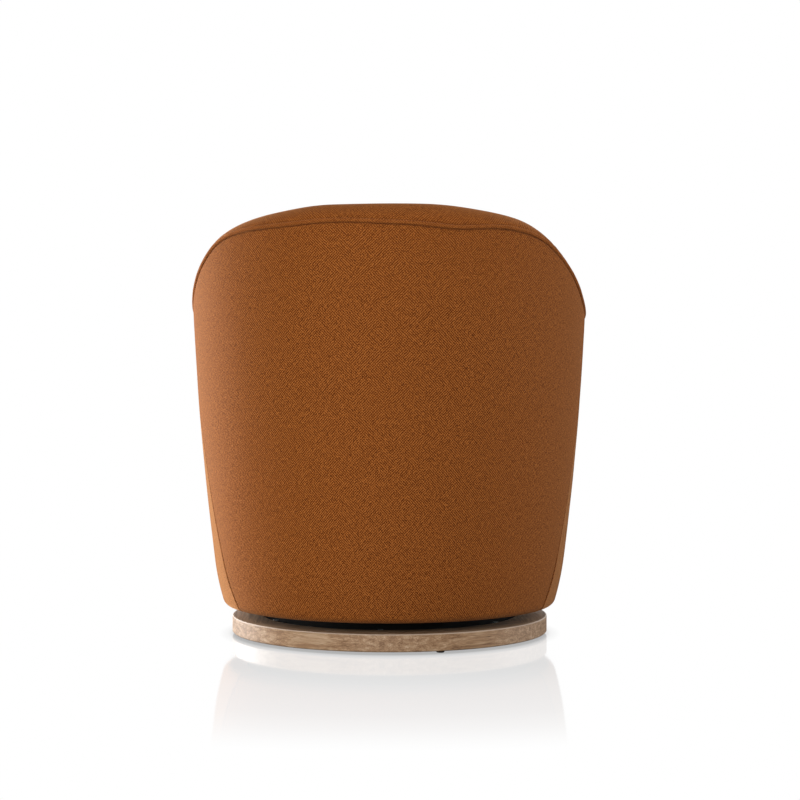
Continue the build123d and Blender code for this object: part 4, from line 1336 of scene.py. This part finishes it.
@dataclass(frozen=True)
class FrontBorder:
    """Padded border across the front under the cushion, between the arm fronts."""

    column_mm: float = 8.0
    row_mm: float = 7.0
    lap: float = 28.0
    thickness: float = 2.4
    top_z: float = 291.3
    edge_radius: float = 5.0
    # Height at which the border's width is taken for the cloth.
    width_z: float = 200.0
    swell: float = 0.8
    cloth_start: float = 20.0
    swell_size: float = 0.08

    def profile(self) -> list[Flat]:
        """Outline from the flange under the hem, up the face and in over the seat rail."""
        edge_z = self.top_z - self.edge_radius
        corner = (WALL.face_radius(edge_z) - self.edge_radius, edge_z)
        heights = steps(WALL.roll_end_z, edge_z, self.row_mm)[1:]
        return [
            *((WALL.hem_radius - inset, WALL.hem_z) for inset in steps(WALL.hem_flange, 0.0, 9.0)),
            *(WALL.on_roll(angle) for angle in steps(-90.0, -WALL.foot_lean, 9.0)[1:]),
            *((WALL.face_radius(height), height) for height in heights),
            *(polar(corner, self.edge_radius, angle) for angle in steps(0.0, 90.0, 15.0)[1:]),
            *((corner[0] - inset, self.top_z) for inset in steps(0.0, self.lap - self.edge_radius, 8.0)[1:]),
        ]

    def half_angle(self, flat: Flat) -> float:
        """Angle from the middle of the front to the arm front at a point of the outline."""
        height = max(flat[1], WALL.roll_end_z)
        nose_flat = WALL.on_nose_axis(height)
        nose = WALL.point(WALL.end_turn, nose_flat) / MM
        radius = (WALL.face_radius(height) - nose_flat[0]) - 1.0
        if flat[1] < WALL.roll_end_z:
            below = flat[1] - WALL.hem_z - WALL.hem_roll
            roll = math.sqrt(max(WALL.hem_roll**2 - below**2, 0.0))
            radius -= WALL.face_radius(height) - WALL.hem_radius - roll
        away = math.hypot(nose.x, nose.y - WALL.centre_y)
        bearing = math.atan2(nose.x, -(nose.y - WALL.centre_y))
        cosine = (away**2 + flat[0] ** 2 - radius**2) / (2.0 * away * flat[0])
        return bearing - math.acos(min(max(cosine, -1.0), 1.0))

    def build(self, material: Material) -> None:
        """Makes the border."""
        outline = self.profile()
        halves = [self.half_angle(flat) for flat in outline]
        lengths = list(accumulate(map(math.dist, outline, outline[1:]), initial=0.0))
        width = WALL.face_radius(self.width_z) * halves[len(halves) // 2]
        shares = [distance / width for distance in ends_dense(-width, width, self.column_mm, SEAM_STEPS)]

        def place(share: float, row: float) -> Vector:
            reach, height = outline[int(row)]
            angle = share * halves[int(row)]
            spot = Vector((reach * math.sin(angle), WALL.centre_y - reach * math.cos(angle), height)) * MM
            dip = turned_in((1.0 - abs(share)) * width, 2.0, 1.8)
            dip -= self.swell * unevenness(spot + Vector((0.0, 8.0, 0.0)), self.swell_size)
            return spot - from_axis(spot) * dip * MM

        # The last function gives the painted shade at both ends of the border, where it meets the arm fronts.
        mesh = wrap(
            shares,
            range(len(outline)),
            place,
            lambda share, row: (share * width * MM, (lengths[int(row)] + self.cloth_start) * MM),
            lambda share, row: seam_depth((1.0 - abs(share)) * width),
        )
        thicken(mesh, self.thickness * MM, from_axis)
        finish_piece(mesh, "front_border", material, ["front_border_cover"], sharp=55.0)


def copy_of_node(node: str) -> bmesh.types.BMesh:
    """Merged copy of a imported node's mesh."""
    mesh = bmesh.new()
    mesh.from_mesh(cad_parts[node].data)
    bmesh.ops.remove_doubles(mesh, verts=mesh.verts[:], dist=1e-6)
    return mesh


def remeshed(mesh: bmesh.types.BMesh, name: str, voxel: float) -> bpy.types.Object:
    """Object whose mesh is an even net of small faces over a closed shape.

    Args:
        mesh: Closed shape. It is freed.
        name: Name of the object.
        voxel: Size of a face in metres.

    Returns:
        The object, linked to the scene.
    """
    piece = new_object(mesh, name)
    modifier = piece.modifiers.new("net", "REMESH")
    modifier.mode = "VOXEL"
    modifier.voxel_size = voxel
    apply_modifiers(piece)
    return piece


def apply_modifiers(piece: bpy.types.Object) -> None:
    """Bakes a piece's modifiers into its mesh, which keeps its name."""
    graph = bpy.context.evaluated_depsgraph_get()
    data = bpy.data.meshes.new_from_object(piece.evaluated_get(graph), depsgraph=graph)
    piece.modifiers.clear()
    old, piece.data = piece.data, data
    bpy.data.meshes.remove(old)
    data.name = piece.name


@dataclass(frozen=True)
class SeatCushion:
    """Loose boxed seat cushion: crowned top and swelling sides, whose edges are held by their seams."""

    voxel_mm: float = 5.0
    # Size before it swells, as a share of its space, and the height of its middle in that space.
    slack: Triple = (0.97, 0.97, 0.80)
    middle_share: float = 0.46
    pressure: float = 4.0
    last_frame: int = 20
    most_movement_mm: float = 24.0
    seam_hold: float = 0.85
    boxing_radius: float = 0.25

    def build(self, material: Material) -> None:
        """Makes the cushion."""
        low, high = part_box("cushion_cover")
        core_low, core_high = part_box("cushion_core")
        spans = zip(low, high, core_low, core_high)
        stretch = Vector(
            [(end - start) / (core_end - core_start) for start, end, core_start, core_end in spans]
        )
        stretch = Vector([part * slack for part, slack in zip(stretch, self.slack)])
        place = (low + high) / 2.0
        place.z = mix(low.z, high.z, self.middle_share)
        mesh = copy_of_node("cushion_core")
        bmesh.ops.translate(mesh, vec=-(core_low + core_high) / 2.0, verts=mesh.verts[:])
        bmesh.ops.scale(mesh, vec=stretch, verts=mesh.verts[:])
        bmesh.ops.translate(mesh, vec=place, verts=mesh.verts[:])
        piece = remeshed(mesh, "seat_cushion", self.voxel_mm * MM)
        self.inflate(piece)
        self.settle(piece, low, high)
        self.lay_cloth(piece, (low + high) / 2.0)
        enlist(piece, material, ("cushion_cover", "cushion_core"))

    def inflate(self, piece: bpy.types.Object) -> None:
        """Swells the cushion like stuffed cloth, with its seams held."""
        start = [vert.co.copy() for vert in piece.data.vertices]
        seams = piece.vertex_groups.new(name="seams")
        for vert in piece.data.vertices:
            rise = abs(vert.normal.z)
            hold = smooth_step(rise, 0.2, 0.5) * (1.0 - smooth_step(rise, 0.8, 0.97))
            if hold > 0.01:
                seams.add([vert.index], hold * self.seam_hold, "REPLACE")
        cloth = piece.modifiers.new("swell", "CLOTH")
        cloth.settings.quality = 5
        cloth.settings.use_pressure = True
        cloth.settings.uniform_pressure_force = self.pressure
        cloth.settings.vertex_group_mass = "seams"
        cloth.settings.effector_weights.gravity = 0.0
        cloth.point_cache.frame_start = 1
        cloth.point_cache.frame_end = self.last_frame
        for number in range(1, self.last_frame + 1):
            bpy.context.scene.frame_set(number)
        apply_modifiers(piece)
        bpy.context.scene.frame_set(1)
        most = self.most_movement_mm * MM
        for vert, first in zip(piece.data.vertices, start):
            moved = vert.co - first
            if moved.length > most:
                vert.co = first + moved.normalized() * most
        piece.vertex_groups.clear()

    def settle(self, piece: bpy.types.Object, low: Vector, high: Vector) -> None:
        """Fits the cushion to its space, between two corners."""
        points = [vert.co for vert in piece.data.vertices]
        least = [min(point[axis] for point in points) for axis in range(3)]
        most = [max(point[axis] for point in points) for axis in range(3)]
        for point in points:
            for axis in range(3):
                share = (point[axis] - least[axis]) / (most[axis] - least[axis])
                point[axis] = mix(low[axis], high[axis], share)
        piece.data.update()

    def lay_cloth(self, piece: bpy.types.Object, centre: Vector) -> None:
        """Lays the weave flat over the top and the underside, and round the sides."""
        data = piece.data
        layer = data.uv_layers.new(name="weave")
        for polygon in data.polygons:
            flat = abs(polygon.normal.z) > 0.6
            for index in polygon.loop_indices:
                spot = data.vertices[data.loops[index].vertex_index].co
                around = math.atan2(spot.x - centre.x, -(spot.y - centre.y)) * self.boxing_radius
                layer.data[index].uv = (spot.x, spot.y) if flat else (around, spot.z)


@dataclass(frozen=True)
class SeatSupport:
    """What carries the cushion: woven straps, a felt pad, and the thin cloth under the body."""

    strap_mm: float = 50.0
    strap_count: int = 5
    pitch_mm: float = 64.0
    reach_mm: float = 214.0
    thickness_mm: float = 1.2
    rail_top_mm: float = 288.0
    # Distances from the middle between which a strap stops weaving and lies flat on its rail.
    flat_mm: Flat = (150.0, 175.0)
    dust_hole_mm: float = 165.0

    def straps(self, lengthwise: bool) -> bmesh.types.BMesh:
        """Makes one layer of straps, which pass over and under the other layer's.

        Args:
            lengthwise: Whether the straps run from back to front.

        Returns:
            The straps as one mesh.
        """
        whole = bmesh.new()
        layer = whole.loops.layers.uv.new("weave")
        for index in range(self.strap_count):
            offset = (index - (self.strap_count - 1) / 2.0) * self.pitch_mm
            half = math.sqrt(self.reach_mm**2 - (abs(offset) + self.strap_mm / 2.0) ** 2)
            start = len(whole.verts)
            bmesh.ops.create_grid(whole, x_segments=max(12, round(half / 8.0)), y_segments=4, size=1.0)
            whole.verts.ensure_lookup_table()
            fresh = whole.verts[start:]
            for face in {face for vert in fresh for face in vert.link_faces}:
                for loop in face.loops:
                    loop[layer].uv = (loop.vert.co.x * half * MM, loop.vert.co.y * self.strap_mm / 2.0 * MM)
            for vert in fresh:
                run, side = vert.co.x * half, vert.co.y * self.strap_mm / 2.0
                over = (-1.0) ** index * math.cos(math.pi * run / self.pitch_mm)
                over *= 1.0 - smooth_step(abs(run), *self.flat_mm)
                lift = self.rail_top_mm + self.thickness_mm * (1.0 + 0.5 * over * (1 if lengthwise else -1))
                x, y = (offset + side, run) if lengthwise else (run, offset + side)
                vert.co = Vector((x, y + WALL.centre_y, lift)) * MM
        thicken(whole, self.thickness_mm * 0.8 * MM, lambda point: Vector((0.0, 0.0, 1.0)))
        return whole

    def build(self) -> None:
        """Makes the straps, the pad and the dust cover."""
        webbing = SpeckledFinish("woven_webbing", "#1b1a19", "#34322f", 0.95, 2.5, relief_mm=0.3).build()
        felt = SpeckledFinish("needled_felt", "#4b3020", "#66452d", 0.98, 3.0, relief_mm=0.5).build()
        dust = SpeckledFinish("non_woven_dust_cloth", "#0f0f10", "#1c1c1d", 0.95, 1.5, relief_mm=0.1).build()
        for word, lengthwise in (("across", False), ("lengthwise", True)):
            mesh = self.straps(lengthwise)
            finish_piece(mesh, f"webbing_straps_{word}", webbing, [f"webbing_{word}"])
        pad = remeshed(copy_of_node("deck_pad"), "deck_felt", 4.0 * MM)
        enlist(pad, felt, ["deck_pad"])
        sheet = finish_piece(copy_of_node("dust_cover"), "dust_sheet", dust, ["dust_cover"])


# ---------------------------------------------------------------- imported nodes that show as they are

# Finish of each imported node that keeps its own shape. A name with {side} stands for a left and a right node.
KEPT_NODES = (
    (
        SpeckledFinish("zinc_plated_steel", "#8d9096", "#aeb1b6", 0.38, 3.0, metallic=1.0, relief_mm=0.02),
        "base_board_screws swivel_lower_screws swivel_upper_screws pivot_bolt pivot_washer pivot_nut"
        " bearing_balls",
    ),
    (
        SpeckledFinish("powder_coated_steel", "#17171a", "#222226", 0.55, 0.8),
        "swivel_lower_plate swivel_upper_plate",
    ),
    (SpeckledFinish("moulded_black_nylon", "#121214", "#1c1c1f", 0.48, 1.2), "glides ball_cage pivot_bush"),
    (SpeckledFinish("black_painted_birch", "#0b0b0c", "#161617", 0.72, 4.0), "base_board"),
    (
        SpeckledFinish("planed_pine", "#c49a68", "#dcb988", 0.66, 12.0, relief_mm=0.15, stretch=(1, 1, 0.12)),
        "lower_posts upper_posts",
    ),
    (
        SpeckledFinish("birch_plywood", "#c8a472", "#dfc59a", 0.62, 9.0, relief_mm=0.1, stretch=(0.25, 1, 2)),
        "bottom_board seat_rail_back seat_rail_front seat_rail_{side} front_board top_rail_back"
        " shoulder_rail_{side} arm_rail_{side}",
    ),
    (SpeckledFinish("grey_board", "#8e7c66", "#a89680", 0.9, 2.0, relief_mm=0.1), "outer_liner"),
)


def dress_kept_nodes() -> None:
    """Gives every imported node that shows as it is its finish."""
    for finish, words in KEPT_NODES:
        material = finish.build()
        for name in {word.format(side=side.word) for word in words.split() for side in Side}:
            dress(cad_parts[name], material)


def dress_plinth(joint_turn: float = 96.0) -> None:
    """Gives each plinth segment the grain of its own board, which runs along the segment's chord.

    Args:
        joint_turn: Turn about Z, in degrees, of the joint where the first segment begins.
    """
    names = ("back_right", "right", "front_right", "front_left", "left", "back_left")
    width = 360.0 / len(names)
    for index, name in enumerate(names):
        middle = joint_turn + width * (index + 0.5)
        oak = WeatheredOak(f"weathered_oak_{name}", turn=-(middle + 90.0), seed=1.7 * index + 0.4)
        dress(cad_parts[f"plinth_segment_{name}"], oak.build())


# ---------------------------------------------------------------- studio


@dataclass(frozen=True)
class Lamp:
    """Soft box at a place in metres, turned towards a target. By default the camera doesn't see a lamp."""

    name: str
    place: Triple
    target: Triple
    size: Flat
    watts: float
    mirrored: bool = True

    def build(self) -> None:
        """Makes the lamp."""
        data = bpy.data.lights.new(self.name, "AREA")
        data.shape = "RECTANGLE"
        data.size, data.size_y = self.size
        data.energy = self.watts
        lamp = bpy.data.objects.new(self.name, data)
        lamp.location = self.place
        lamp.rotation_euler = (Vector(self.target) - Vector(self.place)).to_track_quat("-Z", "Y").to_euler()
        lamp.visible_glossy = self.mirrored
        bpy.context.scene.collection.objects.link(lamp)


LAMPS = (
    Lamp("key", (2.2, -1.0, 0.55), (0.0, 0.1, 0.35), (1.1, 1.1), 82.0),
    Lamp("fill", (-2.3, -0.4, 0.7), (0.0, 0.1, 0.35), (1.2, 1.4), 20.0),
    Lamp("top", (0.2, 0.3, 2.7), (0.0, 0.0, 0.3), (2.4, 2.4), 1.0),
    Lamp("back", (0.3, 3.2, 1.4), (0.0, 0.0, 0.55), (2.2, 1.2), 60.0),
    # Stands in for light that the pale floor throws up at the hem on the left.
    Lamp("low", (0.72, 0.78, 0.06), (0.24, 0.22, 0.12), (0.3, 0.12), 0.9, mirrored=False),
)


@dataclass(frozen=True)
class Studio:
    """Pale floor, soft lamps and the camera, level and almost straight behind the chair."""

    camera_away: float = 3.076
    camera_height: float = 0.4287
    focal_px: float = 1658.1
    axis_px: float = 389.6
    photo_px: float = 800.0
    sensor_mm: float = 36.0
    body_yaw: float = 4.0
    floor_half: float = 20.0
    floor_tone: str = "#747472"
    surround: float = 0.19
    # Distance from the axis, in metres, at which the floor's polish has faded out.
    polish_end: float = 1.05

    def build(self) -> None:
        """Makes the floor, the world, the lamps and the camera."""
        self.make_floor()
        self.make_world()
        for lamp in LAMPS:
            lamp.build()
        self.make_camera()
        bpy.context.scene.view_settings.view_transform = "Standard"

    def make_camera(self) -> None:
        """Makes the camera at the photograph's place and angle."""
        data = bpy.data.cameras.new("camera")
        data.sensor_width = self.sensor_mm
        data.lens = self.focal_px / self.photo_px * self.sensor_mm
        data.shift_x = (self.photo_px / 2.0 - self.axis_px) / self.photo_px
        camera = bpy.data.objects.new("camera", data)
        yaw = math.radians(self.body_yaw)
        away = (-self.camera_away * math.sin(yaw), self.camera_away * math.cos(yaw))
        camera.location = (*away, self.camera_height)
        camera.rotation_euler = (math.radians(90.0), 0.0, math.pi + yaw)
        bpy.context.scene.collection.objects.link(camera)
        bpy.context.scene.camera = camera

    def make_world(self) -> None:
        """Makes an even pale surround, white where the camera or a reflection sees it."""
        world = bpy.data.worlds.new("surround")
        world.use_nodes = True
        tree = world.node_tree
        tree.nodes.clear()
        path = add_node(tree, "LightPath").outputs
        rays = {0: path["Is Camera Ray"], 1: path["Is Glossy Ray"]}
        seen = add_node(tree, "Math", {"operation": "MAXIMUM"}, rays).outputs[0]
        strength = add_node(tree, "MapRange", inputs={"Value": seen, "To Min": self.surround, "To Max": 1.0})
        light = {"Color": (1.0, 1.0, 1.0, 1.0), "Strength": strength.outputs[0]}
        background = add_node(tree, "Background", inputs=light).outputs["Background"]
        add_node(tree, "OutputWorld", inputs={"Surface": background})
        bpy.context.scene.world = world

    def make_floor(self) -> None:
        """Makes a white floor: the chair shades it close by, and a faint polish fades with the distance."""
        mesh = bmesh.new()
        bmesh.ops.create_grid(mesh, x_segments=1, y_segments=1, size=self.floor_half)
        floor = new_object(mesh, "studio_floor")
        shader = Shader("studio_floor_white")
        dress(floor, shader.finish(Base_Color=srgb(self.floor_tone), Roughness=0.9, Specular_IOR_Level=0.0))
        reach = shader.number("DIVIDE", shader.length(shader.place()), self.polish_end)
        shadow = shader.ramp(reach, (0.274, 0.4), (0.283, 0.14), (0.30, 0.0))
        polish = shader.ramp(
            reach, (0.43, 0.27), (0.595, 0.20), (0.78, 0.15), (0.876, 0.09), (0.95, 0.03), (1.0, 0.0)
        )
        white = shader.add("Emission", "Emission", {"Strength": 1.0})
        mirror = shader.add("BsdfGlossy", "BSDF", {"Color": (1.0, 1.0, 1.0, 1.0), "Roughness": 0.06})
        plain = shader.surface.outputs["BSDF"]
        matt = shader.shade(shadow, white, plain)
        camera = shader.add("LightPath", "Is Camera Ray", {})
        shown = shader.shade(camera, plain, shader.shade(polish, matt, mirror))
        feed(shader.tree, shader.output, {"Surface": shown})


def main() -> None:
    """Builds the chair's looks in order."""
    logging.basicConfig(level=logging.INFO, format="%(name)s: %(message)s")
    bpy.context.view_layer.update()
    twill = TwillUpholstery().build()
    dress_kept_nodes()
    dress_plinth()
    # On the side panels the nap lies the other way, so they look paler at a low angle.
    OutsidePanels().build(twill, TwillUpholstery("twill_side_panels", fuzz=1.0).build())
    PaddedRim().build(twill)
    ArmFronts().build(twill)
    # The piping is the same cloth in paler tones: a painted highlight for the light that the cord catches
    # along the rim.
    RimWelt().build(TwillUpholstery("twill_piping", "#6a3510", "#95511f", "#b96f35").build())
    FrontBorder().build(twill)
    SeatCushion().build(twill)
    SeatSupport().build()
    Studio().build()


if __name__ == "__main__":
    main()
